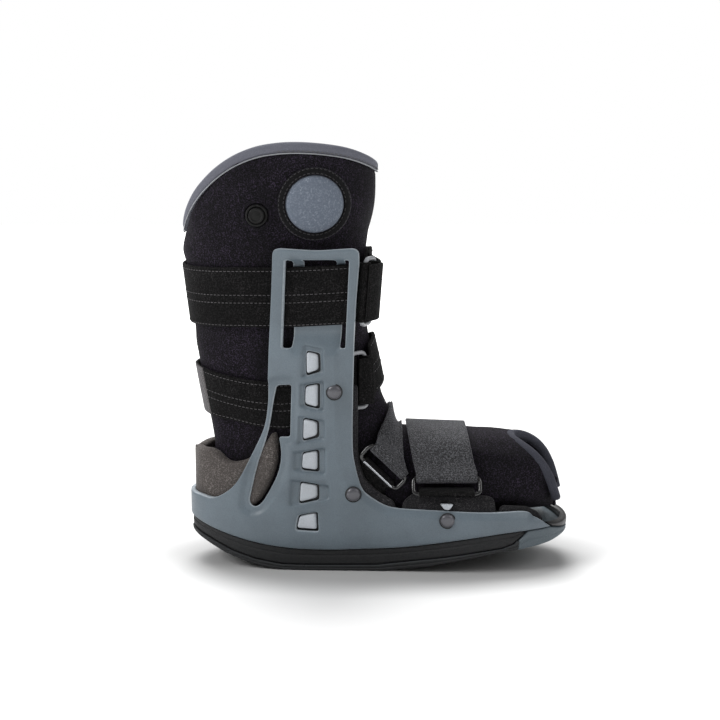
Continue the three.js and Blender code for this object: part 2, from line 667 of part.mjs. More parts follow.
// Upper strap: from the ring round the front, through both frames and round the calf to the ring again
const upperHeight = through([[-60, 216.5], [0, 222], [60, 216.5], [90, 213], [180, 211], [270, 213],
  [300, 215.5]]);
const upperRing = { step: 4.8, depth: 6.6, lean: degrees(60) };
const strapHalfAt = (s, z) => shellHalf(s, z / uprightHeight) - strapDepth - strapThickness / 2;
function upperBars(z) {
  const s = frontLine(z / uprightHeight);
  const first = vec(sx(s) + upperRing.step, -(shellHalf(s, z / uprightHeight) - upperRing.depth), z);
  const along = vec(Math.cos(upperRing.lean), Math.sin(upperRing.lean), 0);
  return barsFrom(first, along, vec(along.y, -along.x, 0));
}

function upperEdge(side) {
  const z = (a) => upperHeight(a) + (side * upperStrapWidth) / 2;
  const bars = upperBars(z(-60));
  const leg = (a) => legPoint(degrees(a), z(a), lay);
  const frame = (s, a, sign) => vec(sx(s), sign * strapHalfAt(s, z(a)), z(a));
  const front = legPoint(0, z(0), lay + 1.5);
  const fold = roundBar(bars[1], foldRadius, -110, -270);
  const stations = [fold.at(-1), fold.at(-1).clone().addScaledVector(bars[1].along, wire),
    vec(front.x - 1.2, fold.at(-1).y * 0.55, z(-30)), front,
    vec(front.x - 2.5, 36, z(40)), frame(frameFront + 0.007, 60, 0.995), frame(0.41, 66, 0.995),
    frame(0.37, 74, 1), frame(0.33, 80, 1),
    frame(0.28, 90, 1), frame(frameRear - 0.02, 100, 0.98), leg(104), leg(125), leg(145), leg(163), leg(180),
    leg(197), leg(215), leg(235), leg(256),
    frame(frameRear - 0.02, 260, -0.98), frame(0.28, 270, -1), frame(0.33, 280, -1), frame(0.37, 287, -1),
    frame(0.41, 294, -0.995), frame(frameFront + 0.007, 300, -0.995)];
  const round = new THREE.CatmullRomCurve3(stations, false, 'centripetal').getPoints(38);
  return fold.slice(0, -1).concat(round, roundBar(bars[0], foldRadius, -80, 80));
}

// Lower strap: inside the shell's uprights, rising to its ring at the front
const lowerHeight = through([[-60, 143], [-30, 150], [0, 160], [40, 146], [70, 131], [110, 130], [180, 138],
  [250, 130], [285, 131], [318, 146]]);
const lowerAxisX = -72;
const lowerRing = { angle: -37, out: 5.6 };
function lowerPoint(a, z, out) {
  const origin = vec(lowerAxisX, 0, z);
  const direction = vec(Math.cos(degrees(a)), Math.sin(degrees(a)), 0);
  return origin.addScaledVector(direction, skinFrom(origin, direction) + out);
}

function lowerEdgeLine(side) {
  const z = (a) => lowerHeight(a) + (side * lowerStrapWidth) / 2;
  const first = lowerPoint(lowerRing.angle, z(-40), lowerRing.out);
  let angle = lowerRing.angle;
  while (lowerPoint(angle, z(-40), lowerRing.out).distanceTo(first) < ringWindow + wire) angle += 0.25;
  const along = lowerPoint(angle, z(-40), lowerRing.out).sub(first).normalize();
  const bars = barsFrom(first, along, vec(along.y, -along.x, 0));
  const fold = roundBar(bars[1], foldRadius, -110, -270);
  fold.push(fold.at(-1).clone().addScaledVector(along, wire));
  const round = steps(36, angle + 9, 312, (a) => lowerPoint(a, z(a), lay + 1.2 * (1 - smooth(a, 0, 40))));
  return { bars, line: fold.concat(round, roundBar(bars[0], foldRadius, -90, 80)) };
}

// Foot straps: rays fan out from an axis inside the foot; each line of points keeps to its share of the width
function fanPoint({ axis, across, up, splay, width }, side, a, out) {
  const origin = axis.clone().addScaledVector(across, (side * width) / 2);
  const upward = up.clone().addScaledVector(vec(1, 0, 0), splay * side).normalize();
  const direction = upward.multiplyScalar(Math.sin(degrees(a))).add(vec(0, -Math.cos(degrees(a)), 0));
  return origin.addScaledVector(direction, skinFrom(origin, direction) + out);
}

function footStrap(sizes, side) {
  const { across, pull, near, far, ringOut, ringLean, backAngle } = sizes;
  const point = (a, out) => fanPoint(sizes, side, a, out);
  const ringY = Math.min(fanPoint(sizes, -1, near, ringOut).y, fanPoint(sizes, 1, near, ringOut).y);
  const along = pull.clone().multiplyScalar(Math.cos(ringLean)).add(vec(0, Math.sin(ringLean), 0));
  const out = along.clone().cross(across).normalize();
  if (out.y > 0) out.negate();
  const second = point(near, ringOut);
  second.y = ringY;
  const first = second.clone().addScaledVector(along, -(ringWindow + wire));
  const bars = [{ at: first, along, out }, { at: second, along, out }];
  const over = steps(5, backAngle, near + 16, (a) => point(a, lay + strapThickness + 2 * gap));
  const fold = roundBar(bars[1], foldRadius, 85, 275);
  fold.unshift(fold[0].clone().addScaledVector(along, wire));
  fold.push(fold.at(-1).clone().addScaledVector(along, wire));
  const round = steps(26, near + 18, far, (a) => point(a, lay));
  return { bars, line: over.concat(fold, round) };
}

const toeStrap = { axis: vec(sx(0.672), 0, sz(0.29)), across: vec(1, 0, 0), up: vec(-0.2, 0, 1), splay: 0,
  pull: vec(0, 0, 1), width: toeStrapWidth, near: 2, far: 208, ringOut: foldRadius + lay + 2,
  ringLean: degrees(28), backAngle: 55 };
const instepStrap = { axis: vec(sx(0.523), 0, sz(0.34)), across: vec(0.72, 0, -0.69).normalize(),
  up: vec(0.22, 0, 0.95), splay: -0.28, pull: vec(0.69, 0, 0.72).normalize(), width: instepStrapWidth,
  near: 2, far: 196, ringOut: foldRadius + lay + 0.5, ringLean: degrees(4), backAngle: 45 };

// Short webbing tab from a ring's lower bar down between liner and bootie
function anchorLine(bar, drop) {
  const hook = roundBar(bar, anchorRadius, 130, 10, 5);
  const lane = steps(5, -anchorRadius, drop, (k) => {
    const p = bar.at.clone().addScaledVector(bar.along, -k);
    const wall = shellHalf((p.x - heelX) / soleLength, p.z / uprightHeight);
    p.y = Math.max(anchorDepth + anchorThickness / 2 - wall, bar.at.y + anchorRadius + gap);
    return p;
  });
  return hook.concat(lane);
}

function anchorLines(low, high, drop) {
  const inset = high.at.clone().sub(low.at).normalize().multiplyScalar(2);
  const ends = [{ ...low, at: low.at.clone().add(inset) }, { ...high, at: high.at.clone().sub(inset) }];
  return ends.map((bar) => anchorLine(bar, drop));
}

// Rivet with a low dome and a shank through the shell wall
function makeRivet() {
  const dome = steps(2, 0, Math.PI / 2, (a) =>
    new THREE.Vector2(rivetRadius * Math.cos(a), 0.5 + (rivetRise - 0.5) * Math.sin(a)));
  dome[dome.length - 1].x = 0;
  const outline = [new THREE.Vector2(0, -shellWall), new THREE.Vector2(rivetShank, -shellWall),
    new THREE.Vector2(rivetShank, 0), new THREE.Vector2(rivetRadius, 0), ...dome];
  return new THREE.LatheGeometry(outline, 8);
}

// Inflation pump: round cushion in a raised ring, both lying on the bootie's side
const pumpSteps = 18;
function pumpPiece(outerRadius, innerRadius, rise) {
  const plate = cylinderY(outerRadius, 0, -reach, pumpX, pumpZ, pumpSteps);
  const hole = innerRadius > 0 ? cylinderY(innerRadius, 0, -reach, pumpX, pumpZ, pumpSteps) : null;
  const solid = bootieForm(-rise).subtract(bootieForm(-gap)).intersect(plate);
  return hole ? solid.subtract(hole) : solid;
}

// Valve: a ringed cup with a release button inside it, on the bootie's side
function turned(outline) {
  const geometry = new THREE.LatheGeometry(outline.map(([r, y]) => new THREE.Vector2(r, y)), 16);
  geometry.rotateX(Math.PI);
  return geometry;
}
const valveFloor = 1.6;
const rimBevel = 0.8;
const makeValve = () => turned([[0, 0], [valveRadius, 0], [valveRadius, valveRise - rimBevel],
  [valveRadius - rimBevel, valveRise], [valveBore, valveRise], [valveBore, valveFloor], [0, valveFloor]]);
const buttonFoot = valveFloor + buttonTravel + gap;
const buttonTop = valveRise + buttonProud;
const makeButton = () => turned([[0, buttonFoot], [buttonRadius, buttonFoot],
  [buttonRadius, buttonTop - rimBevel], [buttonRadius - rimBevel, buttonTop], [0, buttonTop]]);

// Small clip on the shell's edge under the toe strap's ring
const clipSpot = 0.673;
function makeClip() {
  const half = clipWidth / 2 / soleLength;
  const low = 0.199 + gap / uprightHeight + 0.002;
  const shape = polygon([[clipSpot - half * 0.35, low], [clipSpot + half * 0.35, low],
    [clipSpot + half, 0.219], [clipSpot - half, 0.219]]);
  return layer(0.6, shellWall).intersect(prism(shape, -reach, 0));
}

// Colours and finishes
const finish = (color, roughness, metalness = 0) => ({ color, roughness, metalness });
const plastic = finish(0x6b7a85, 0.5);
const lightPlastic = finish(0xbfc4c9, 0.5);
const darkRubber = finish(0x2b2d30, 0.8);
const foam = finish(0x5b5c60, 0.95);
const cloth = finish(0x1d1c22, 0.95);
const binding = finish(0x5f646b, 0.85);
const webbing = finish(0x3a3c40, 0.9);
const loopCloth = finish(0x121214, 1);
const blackPlastic = finish(0x202225, 0.35);
const paleMetal = finish(0xc9ccd0, 0.35, 0.6);
const rivetPlastic = finish(0x6e6a72, 0.4, 0.2);
const pumpCloth = finish(0x6f7a87, 0.9);

const boot = new THREE.Group();

function add(name, shape, look, place = vec(0, 0, 0)) {
  const geometry = shape.isBufferGeometry ? shape : geometryOf(shape);
  const mesh = new THREE.Mesh(geometry, new THREE.MeshStandardMaterial(look));
  mesh.name = name;
  mesh.position.copy(place);
  boot.add(mesh);
  return mesh;
}

add('shell', makeShell(), plastic);
sides.forEach(({ tag, sign }) => add(`window_insert_${tag}`, makeInsert(sign), lightPlastic));
add('midsole', makeMidsole(), darkRubber);
add('outsole', makeOutsole(), plastic);
add('toe_guard', makeToeGuard(), darkRubber);
add('foot_liner', makeLiner(), foam);
add('heel_collar', makeCollar(), foam);
add('cuff_binding', makeCuffBinding(), binding);
add('mouth_binding', makeMouthBinding(), binding);
add('pump_cushion', pumpPiece(pumpRadius, 0, pumpRise), pumpCloth);
add('pump_ring', pumpPiece(pumpRadius + gap + pumpRingWidth, pumpRadius + gap, pumpRingRise), cloth);
const valvePlace = vec(valveX, valveSeat - gap, valveZ);
add('valve_body', makeValve(), blackPlastic, valvePlace);
add('release_button', makeButton(), blackPlastic, valvePlace);

const acrossStrap = [-1, 0, 1];
const upperLines = [-1, 1].map(upperEdge);
const barZ = (side) => upperHeight(-60) + (side * upperStrapWidth) / 2;
add('upper_strap', ribbon(upperLines, strapThickness), loopCloth);
add('upper_ring', makeRing(upperBars(barZ(-1)), upperBars(barZ(1))), paleMetal);

const lowerLines = acrossStrap.map(lowerEdgeLine);
const lowerRoute = lowerLines.map(({ line }) => line);
add('lower_strap', ribbon(lowerRoute, strapThickness), loopCloth);
add('lower_ring', makeRing(lowerLines[0].bars, lowerLines[2].bars), paleMetal);

const pressedBy = [makeCuffBinding(gap), makeMouthBinding(gap), strapRoom(lowerRoute, strapThickness)];
[['instep', instepStrap, 24], ['toe', toeStrap, 16]].forEach(([name, sizes, drop]) => {
  const lines = acrossStrap.map((side) => footStrap(sizes, side));
  const route = lines.map(({ line }) => line);
  const anchor = anchorLines(lines[0].bars[0], lines[2].bars[0], drop);
  add(`${name}_strap`, ribbon(route, strapThickness), webbing);
  add(`${name}_ring`, makeRing(lines[0].bars, lines[2].bars), blackPlastic);
  add(`${name}_anchor`, ribbon(anchor, anchorThickness), loopCloth);
  pressedBy.push(strapRoom(route, strapThickness), strapRoom(anchor, anchorThickness));
});
add('bootie', makeBootie(pressedBy), cloth);

add('strap_clip', makeClip(), lightPlastic);
sides.forEach(({ tag, sign }) => rivets.forEach(({ s, t }, i) => {
  const place = vec(sx(s), sign * (shellHalf(s, t) + 2 * gap), sz(t));
  const rivet = add(`rivet_${tag}_${i + 1}`, makeRivet(), rivetPlastic, place);
  rivet.rotation.x = sign < 0 ? Math.PI : 0;
}));

export default boot;
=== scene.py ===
import json
import math
import bpy
import numpy as np
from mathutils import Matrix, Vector
from mathutils.geometry import delaunay_2d_cdt

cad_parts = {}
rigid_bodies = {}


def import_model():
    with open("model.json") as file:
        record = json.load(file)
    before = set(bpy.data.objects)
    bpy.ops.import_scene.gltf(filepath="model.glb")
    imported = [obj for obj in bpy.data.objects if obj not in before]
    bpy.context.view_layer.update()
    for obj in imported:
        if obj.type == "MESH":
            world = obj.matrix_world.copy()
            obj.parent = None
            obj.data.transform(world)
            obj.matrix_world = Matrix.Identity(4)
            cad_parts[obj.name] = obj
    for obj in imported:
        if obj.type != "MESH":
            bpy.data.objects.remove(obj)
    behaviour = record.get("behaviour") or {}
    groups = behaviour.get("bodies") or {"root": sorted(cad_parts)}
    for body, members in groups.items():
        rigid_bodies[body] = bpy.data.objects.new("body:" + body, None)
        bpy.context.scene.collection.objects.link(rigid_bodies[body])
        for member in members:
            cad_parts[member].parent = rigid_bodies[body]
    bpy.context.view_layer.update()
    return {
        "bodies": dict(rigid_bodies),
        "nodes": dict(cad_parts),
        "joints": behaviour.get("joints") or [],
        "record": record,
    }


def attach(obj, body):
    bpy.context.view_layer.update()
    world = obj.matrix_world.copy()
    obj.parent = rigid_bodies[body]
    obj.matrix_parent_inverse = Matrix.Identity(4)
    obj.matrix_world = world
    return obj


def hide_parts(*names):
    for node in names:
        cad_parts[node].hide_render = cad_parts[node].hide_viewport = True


# Medical walking boot, dressed over its frame. Lengths in the code are millimetres; meshes are written in metres.
# +X is the toe, +Z is up, the pump and the strap rings are on the -Y side.
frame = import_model()
print("frame loaded:", len(frame["nodes"]), "nodes")


# named sizes, as in the part's source
size = {
    "soleLength": 295, "soleWidth": 108, "heelX": -145.6, "uprightHeight": 250, "ankleWidth": 98, "calfWidth": 130,
    "shellWall": 3.5, "panelWall": 2.7, "linerWall": 2.6, "gap": 0.3,
    "cuffPeak": 321, "calfDepth": 141, "cuffWidth": 120, "calfBackX": -147.6, "instepHeight": 104,
    "strapThickness": 2.2, "wire": 3.2, "ringWindow": 9.5,
}
gap = size["gap"]
soleLength = size["soleLength"]
uprightHeight = size["uprightHeight"]
strapDepth = size["shellWall"] + 2 * gap
panelDepth = strapDepth + size["strapThickness"] + 2 * gap
bootieDepth = panelDepth + size["panelWall"] + gap
linerDepth = size["shellWall"] + gap
sx = lambda s: size["heelX"] + np.asarray(s, float) * soleLength
sz = lambda t: np.asarray(t, float) * uprightHeight
toShare = lambda x: (np.asarray(x, float) - size["heelX"]) / soleLength


def curveThrough(rows):
    # Cubic through the rows (position, value), each span bent by its two neighbours, straight at both ends
    xs, ys = np.array(rows, float).T
    last = len(xs) - 1

    def value(x):
        x = np.clip(np.asarray(x, float), xs[0], xs[-1])
        i = np.clip(np.searchsorted(xs, x, "right"), 1, last)
        t0, t1 = xs[i - 1], xs[i]
        half = (t1 - t0) / 2
        first, final = i == 1, i == last
        before = np.where(first, t1, xs[np.maximum(i - 2, 0)])
        after = np.where(final, t0, xs[np.minimum(i + 1, last)])
        yBefore = np.where(first, ys[i], ys[np.maximum(i - 2, 0)])
        yAfter = np.where(final, ys[i - 1], ys[np.minimum(i + 1, last)])
        wp, wn = half / (t0 - before), half / (after - t1)
        p = (x - t0) / (t1 - t0)
        pp, ppp = p * p, p * p * p
        return ((-wp * ppp + 2 * wp * pp - wp * p) * yBefore
                + ((1 + wp) * ppp + (-1.5 - 2 * wp) * pp + (-0.5 + wp) * p + 1) * ys[i - 1]
                + ((-1 - wn) * ppp + (1.5 + wn) * pp + 0.5 * p) * ys[i]
                + (wn * ppp - wn * pp) * yAfter)
    return value


def smooth(x, low, high):
    # 0 below low, 1 above high, 3u^2 - 2u^3 between
    u = np.clip((np.asarray(x, float) - low) / (high - low), 0, 1)
    return u * u * (3 - 2 * u)


def lerp(a, b, u):
    return a + (b - a) * u


def unit(v):
    return v / np.maximum(np.linalg.norm(v, axis=-1, keepdims=True), 1e-9)


# the plan of the sole and the uprights, as in the part's source
fullness = curveThrough([[0, 0.96], [0.11, 0.93], [0.2, 0.91], [0.36, 0.867], [0.53, 0.89], [0.65, 0.98],
                         [0.75, 1.09], [0.83, 1.145], [0.9, 1.2], [0.95, 1.26], [1, 1.3]])
legShare = curveThrough([[0, 0.08], [0.014, 0.35], [0.05, 0.59], [0.11, 0.76], [0.2, 0.93], [0.25, 0.98],
                         [0.29, 0.995], [0.36, 1], [0.43, 0.995], [0.48, 0.98], [0.6, 0.94], [1, 0.9]])
ovalPower = 2.4
endWidth = 1.5
footTop, ankleAt = 0.2, 0.38


def soleHalf(s):
    # Half the sole's width: a blunt oval (1 - |2s-1|^p)^(1/p) times the fullness along the sole
    u = np.clip(np.abs(2 * np.asarray(s, float) - 1), 0, 1)
    return np.maximum(endWidth, size["soleWidth"] / 2 * fullness(s) * (1 - u ** ovalPower) ** (1 / ovalPower))


def shellHalf(s, t):
    # The sole's half width below the ankle, blending into uprights that widen straight up to the calf
    leg = lerp(size["ankleWidth"] / 2, size["calfWidth"] / 2, (np.asarray(t, float) - ankleAt) / (1 - ankleAt))
    return lerp(soleHalf(s), leg * legShare(s), smooth(t, footTop, ankleAt))


def soleTuck(t):
    # The lower edge tucks in by 5 mm in a smooth step
    return 5 * (1 - smooth(t, -0.03, 0.13))


lowerEdge = np.array([[0, 0.149], [0.031, 0.136], [0.09, 0.113], [0.165, 0.09], [0.255, 0.074], [0.347, 0.069],
                      [0.456, 0.073], [0.553, 0.08], [0.635, 0.094], [0.753, 0.118], [0.83, 0.129], [0.945, 0.136]])
sideEdge = np.array([[0.945, 0.137], [0.908, 0.17], [0.878, 0.192], [0.789, 0.194], [0.635, 0.199], [0.554, 0.202],
                     [0.517, 0.21], [0.477, 0.236], [0.453, 0.264], [0.438, 0.32], [0.429, 0.392], [0.43, 0.56],
                     [0.433, 0.688], [0.439, 0.836], [0.447, 0.955]])
rearEdge = np.array([[0.231, 0.96], [0.227, 0.86], [0.219, 0.7], [0.214, 0.582], [0.207, 0.494], [0.195, 0.438],
                     [0.168, 0.366], [0.141, 0.298], [0.112, 0.252], [0.069, 0.22], [0.03, 0.221], [0, 0.222]])
lowerLine = curveThrough(lowerEdge)
frontLine = curveThrough([[t, s] for s, t in sideEdge[7:]])

# Arc length round the sole's plan from the middle of the heel, to lay flat patterns round the boot
planS = np.linspace(0, 1, 3001) ** 2
planP = np.concatenate([[0], np.cumsum(np.hypot(np.diff(sx(planS)), np.diff(soleHalf(planS))))]) + endWidth
planP[0] = 0
alongPlan = lambda s: np.interp(s, planS, planP)
planShare = lambda p: np.interp(p, planP, planS)


def wallPoint(p, z, inset):
    # Point of the near side wall at plan length p and height z, set in from the shell's outer face
    s, t = planShare(p), np.asarray(z, float) / uprightHeight
    inset = inset + soleTuck(t)
    middle = smooth(p, 0, 3.0)
    return np.stack([sx(s) + inset * (1 - 2 * s), -np.maximum(0.6, shellHalf(s, t) - inset) * middle, z + 0 * s], -1)


# mesh helpers
# The rub mark, for worn edges and a painted highlight along them, falls from 1 on an edge to 0 at the reach below; a
# sunk wall keeps at least leastWall
rubAndHighlightReach = 3.0
leastWall = 1.6


def makePiece(name, points, faces, look, slotName, replaced=(), body="boot", uv=None, marks=None):
    # A mesh in metres from points in millimetres; uv is per point, marks are named values per point
    mesh = bpy.data.meshes.new(name)
    mesh.from_pydata((np.asarray(points, float) / 1000).tolist(), [], faces)
    mesh.validate(clean_customdata=False)
    if uv is not None:
        loops = np.zeros(len(mesh.loops), np.int32)
        mesh.loops.foreach_get("vertex_index", loops)
        layer = mesh.uv_layers.new(name="UVMap")
        layer.data.foreach_set("uv", (np.asarray(uv, float) / 1000)[loops].astype(np.float32).ravel())
    if marks:
        # the edge mark, for rubbed wear and a painted edge highlight
        rubAndHighlight = np.clip(1 - np.asarray(marks["edge"], float) / rubAndHighlightReach, 0, 1)
        mesh.attributes.new("rubAndHighlight", "FLOAT", "POINT").data.foreach_set("value", rubAndHighlight.astype(np.float32))
    mesh.polygons.foreach_set("use_smooth", np.ones(len(mesh.polygons), bool))
    mesh.update()
    obj = bpy.data.objects.new(name, mesh)
    bpy.context.scene.collection.objects.link(obj)
    mesh.materials.append(look)
    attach(obj, body)
    if replaced:
        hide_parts(*replaced)
    return obj


def gridFaces(rows, columns, loopRows=False, loopColumns=False):
    # Quads of a grid whose points run along the columns first
    i = np.arange(rows if loopRows else rows - 1)
    j = np.arange(columns if loopColumns else columns - 1)
    i, j = np.meshgrid(i, j, indexing="ij")
    a, b = i * columns, ((i + 1) % rows) * columns
    k = (j + 1) % columns
    return np.stack([a + j, a + k, b + k, b + j], -1).reshape(-1, 4).tolist()


def faceOut(points, faces):
    # Faces of any number of sides, all turned over if the closed mesh has a negative volume
    total = 0.0
    for count in {len(f) for f in faces}:
        same = np.array([f for f in faces if len(f) == count])
        for k in range(1, count - 1):
            a, b, c = points[same[:, 0]], points[same[:, k]], points[same[:, k + 1]]
            total += np.einsum("ij,ij->i", a, np.cross(b, c)).sum()
    return [f[::-1] for f in faces] if total < 0 else faces


def tubeFaces(points, n, m):
    # Faces of n rings of m points each, with a flat face at either end
    ends = [list(range(m))[::-1], list(range((n - 1) * m, n * m))]
    return faceOut(points, gridFaces(n, m, False, True) + ends)


def joined(parts):
    # Several (points, faces) as one list of points and faces
    faces, base = [], 0
    for points, some in parts:
        faces += [[v + base for v in face] for face in some]
        base += len(points)
    return np.concatenate([points for points, _ in parts]), faces


def farSide(points, faces):
    # The mirror image across the middle plane
    return points * [1, -1, 1], [f[::-1] for f in faces]


def sweep(path, out, profile, closed):
    # A closed profile (a along out, b across) carried along a path; ends are closed by a point
    n, m = len(path), len(profile)
    if closed:
        along = unit(np.roll(path, -1, 0) - np.roll(path, 1, 0))
    else:
        along = unit(np.gradient(path, axis=0))
    across = unit(np.cross(along, out))
    square = np.cross(across, along)
    a, b = profile[None, :, :1], profile[None, :, 1:2]
    points = (path[:, None] + square[:, None] * a + across[:, None] * b).reshape(-1, 3)
    faces = gridFaces(n, m, closed, True)
    if closed:
        return points, faceOut(points, faces)
    j = np.arange(m)
    k = (j + 1) % m
    faces += np.stack([k, j, np.full(m, n * m)], -1).tolist()
    faces += np.stack([j + (n - 1) * m, k + (n - 1) * m, np.full(m, n * m + 1)], -1).tolist()
    points = np.concatenate([points, [points[:m].mean(0), points[-m:].mean(0)]])
    return points, faceOut(points, faces)


def ovalProfile(a, b, count, lift=0.0, power=2.0):
    # Superellipse a by b, raised by lift across
    angle = np.linspace(0, 2 * np.pi, count, endpoint=False)
    c, s = np.cos(angle), np.sin(angle)
    return np.stack([a * np.sign(c) * np.abs(c) ** (2 / power), b * np.sign(s) * np.abs(s) ** (2 / power) + lift], -1)


def catmull(rows, each=8, closed=False):
    # Smooth line through the rows: each span is the Catmull-Rom cubic of its four nearest rows
    p = np.asarray(rows, float)
    if closed:
        p = np.concatenate([p[-1:], p, p[:2]])
    else:
        p = np.concatenate([p[:1] * 2 - p[1:2], p, p[-1:] * 2 - p[-2:-1]])
    t = np.linspace(0, 1, each, endpoint=False)[:, None]
    a, b, c, d = (p[i:len(p) - 3 + i, None] for i in range(4))
    line = 0.5 * (2 * b + (c - a) * t + (2 * a - 5 * b + 4 * c - d) * t ** 2 + (3 * b - a - 3 * c + d) * t ** 3)
    line = line.reshape(-1, p.shape[1])
    return line if closed else np.concatenate([line, p[-2:-1]])


def spaced(line, step, closed=False):
    # Points at an even step along a line
    line = np.asarray(line, float)
    if closed:
        line = np.concatenate([line, line[:1]])
    length = np.concatenate([[0], np.cumsum(np.linalg.norm(np.diff(line, axis=0), axis=1))])
    count = max(2, int(round(length[-1] / step)))
    at = np.linspace(0, length[-1], count + 1)
    out = np.stack([np.interp(at, length, line[:, k]) for k in range(line.shape[1])], -1)
    return out[:-1] if closed else out


def roundedPolygon(corners, radius, each=5):
    # Each corner replaced by a quadratic curve that starts and ends a radius away from it
    p = np.asarray(corners, float)
    before, after = np.roll(p, 1, 0), np.roll(p, -1, 0)
    cut = np.minimum(radius, np.minimum(np.linalg.norm(p - before, axis=1),
                                        np.linalg.norm(after - p, axis=1)) * 0.45)[:, None]
    a, b = p + unit(before - p) * cut, p + unit(after - p) * cut
    t = np.linspace(0, 1, each)[None, :, None]
    return ((1 - t) ** 2 * a[:, None] + 2 * t * (1 - t) * p[:, None] + t ** 2 * b[:, None]).reshape(-1, 2)


def distanceTo(points, line, closed=True):
    # Shortest distance from points to a line of segments
    a = np.asarray(line, float)
    b = np.roll(a, -1, 0) if closed else a[1:]
    a = a if closed else a[:-1]
    best = np.full(len(points), 1e9)
    for i in range(0, len(a), 64):
        a1, ab = a[i:i + 64], (b - a)[i:i + 64]
        u = np.einsum("nmk,mk->nm", points[:, None] - a1, ab) / np.maximum((ab ** 2).sum(1), 1e-12)
        near = a1 + np.clip(u, 0, 1)[..., None] * ab
        best = np.minimum(best, np.linalg.norm(points[:, None] - near, axis=-1).min(1))
    return best


def isInside(points, loop):
    # Even-odd count of the loop's edges to the right of each point
    x0, y0 = np.asarray(loop, float).T
    x1, y1 = np.roll(x0, -1), np.roll(y0, -1)
    x, y = points[:, :1], points[:, 1:2]
    crosses = (y0 > y) != (y1 > y)
    at = x0 + (y - y0) * (x1 - x0) / np.where(y1 == y0, 1e-12, y1 - y0)
    return ((crosses & (x < at)).sum(1) % 2) == 1


def plate(outline, holes, grid, inset, thickness, edgeRadius, relief=None, openStart=False, cuts=(0.5, 1.3),
          features=()):
    # A wall laid round the plan: the flat pattern (plan length, height) is filled with triangles, each point is set
    # in by the relief and by a quarter round near the cut edges, and the same pattern set deeper closes it. Rows of
    # points run along each cut edge at the distances in cuts, and along the features that are drawn on the wall.
    loops = [outline] + holes
    rows = []
    for offset in cuts:
        for loop in loops:
            tangent = unit(np.roll(loop, -1, 0) - np.roll(loop, 1, 0))
            normal = np.stack([-tangent[:, 1], tangent[:, 0]], -1)
            rows += [loop + normal * offset, loop - normal * offset]
    free = np.concatenate(rows)
    drawn = np.concatenate([np.asarray(line, float) for line in features]) if len(features) else np.zeros((0, 2))
    low, high = outline.min(0), outline.max(0)
    gx, gz = np.meshgrid(np.arange(low[0] + grid / 2, high[0], grid), np.arange(low[1] + grid / 2, high[1], grid))
    mesh = np.stack([gx.ravel() + (np.arange(gz.size) // gx.shape[1] % 2) * grid / 2, gz.ravel()], -1)
    if len(drawn):
        mesh = mesh[np.min([np.linalg.norm(mesh[:, None] - drawn[None, k:k + 400], axis=-1).min(1)
                            for k in range(0, len(drawn), 400)], 0) > grid * 0.3]
    every = np.concatenate([free, drawn, mesh])
    nearest = np.min([distanceTo(every, loop) for loop in loops], 0)
    room = np.concatenate([np.full(len(free), min(cuts) * 0.85), np.full(len(drawn), max(cuts) * 1.2),
                           np.full(len(mesh), max(cuts) + grid * 0.4)])
    within = isInside(every, outline)
    for hole in holes:
        within &= ~isInside(every, hole)
    every = every[within & (nearest > room)]
    border = np.concatenate(loops)
    edges, base = [], 0
    for loop in loops:
        n = len(loop)
        edges += [(base + k, base + (k + 1) % n) for k in range(n)]
        base += n
    made = delaunay_2d_cdt([Vector(p) for p in np.concatenate([border, every])], edges, [], 0, 1e-4)
    flat = np.array([v[:] for v in made[0]])
    tri = np.array([f for f in made[2] if len(f) == 3])
    centre = flat[tri].mean(1)
    keep = isInside(centre, outline)
    for hole in holes:
        keep &= ~isInside(centre, hole)
    tri = tri[keep]
    used, tri = np.unique(tri, return_inverse=True)
    tri, flat = tri.reshape(-1, 3), flat[used]
    a, b = flat[tri[:, 1]] - flat[tri[:, 0]], flat[tri[:, 2]] - flat[tri[:, 0]]
    wrong = a[:, 0] * b[:, 1] - a[:, 1] * b[:, 0] < 0
    tri[wrong] = tri[wrong][:, ::-1]
    edge = np.min([distanceTo(flat, hole) for hole in holes] + [np.full(len(flat), 99.0)], 0)
    if openStart:
        trimmed = outline[outline[:, 0] > 0.01]
        shift = np.argmax(np.linalg.norm(trimmed - np.roll(trimmed, 1, 0), axis=1))
        edge = np.minimum(edge, distanceTo(flat, np.roll(trimmed, -shift, 0), False))
    else:
        edge = np.minimum(edge, distanceTo(flat, outline))
    reach = np.clip(1 - edge / edgeRadius, 0, 1)
    curl = edgeRadius * (1 - np.sqrt(1 - reach ** 2))
    sunk = relief(flat) if relief else np.zeros(len(flat))
    depth = np.maximum(thickness, sunk + leastWall)
    curl = np.minimum(curl, (depth - sunk) * 0.45)
    front = wallPoint(flat[:, 0], flat[:, 1], inset + sunk + curl)
    back = wallPoint(flat[:, 0], flat[:, 1], inset + depth - curl * 0.6)
    n = len(flat)
    directed = np.concatenate([tri[:, [0, 1]], tri[:, [1, 2]], tri[:, [2, 0]]])
    _, first, count = np.unique(np.sort(directed, 1), axis=0, return_index=True, return_counts=True)
    rim = directed[first[count == 1]]
    if openStart:
        rim = rim[~((flat[rim[:, 0], 0] < 0.01) & (flat[rim[:, 1], 0] < 0.01))]
    sides = np.stack([rim[:, 1], rim[:, 0], rim[:, 0] + n, rim[:, 1] + n], -1)
    faces = tri.tolist() + (tri[:, ::-1] + n).tolist() + sides.tolist()
    return np.concatenate([front, back]), faces, {"edge": np.concatenate([edge, edge])}


def bothSides(points, faces, marks):
    # The near side and its mirror image across the middle plane, with the shared seam merged
    far = points * [1, -1, 1]
    n = len(points)
    whole = np.concatenate([points, far])
    mirrored = [[v + n for v in reversed(f)] for f in faces]
    seam = np.abs(points[:, 1]) < 1e-6
    link = np.arange(2 * n)
    link[n:][seam] = np.arange(n)[seam]
    every = [[int(link[v]) for v in f] for f in faces + mirrored]
    every = [f for f in every if len(set(f)) == len(f)]
    return whole, every, {k: np.concatenate([v, v]) for k, v in marks.items()}


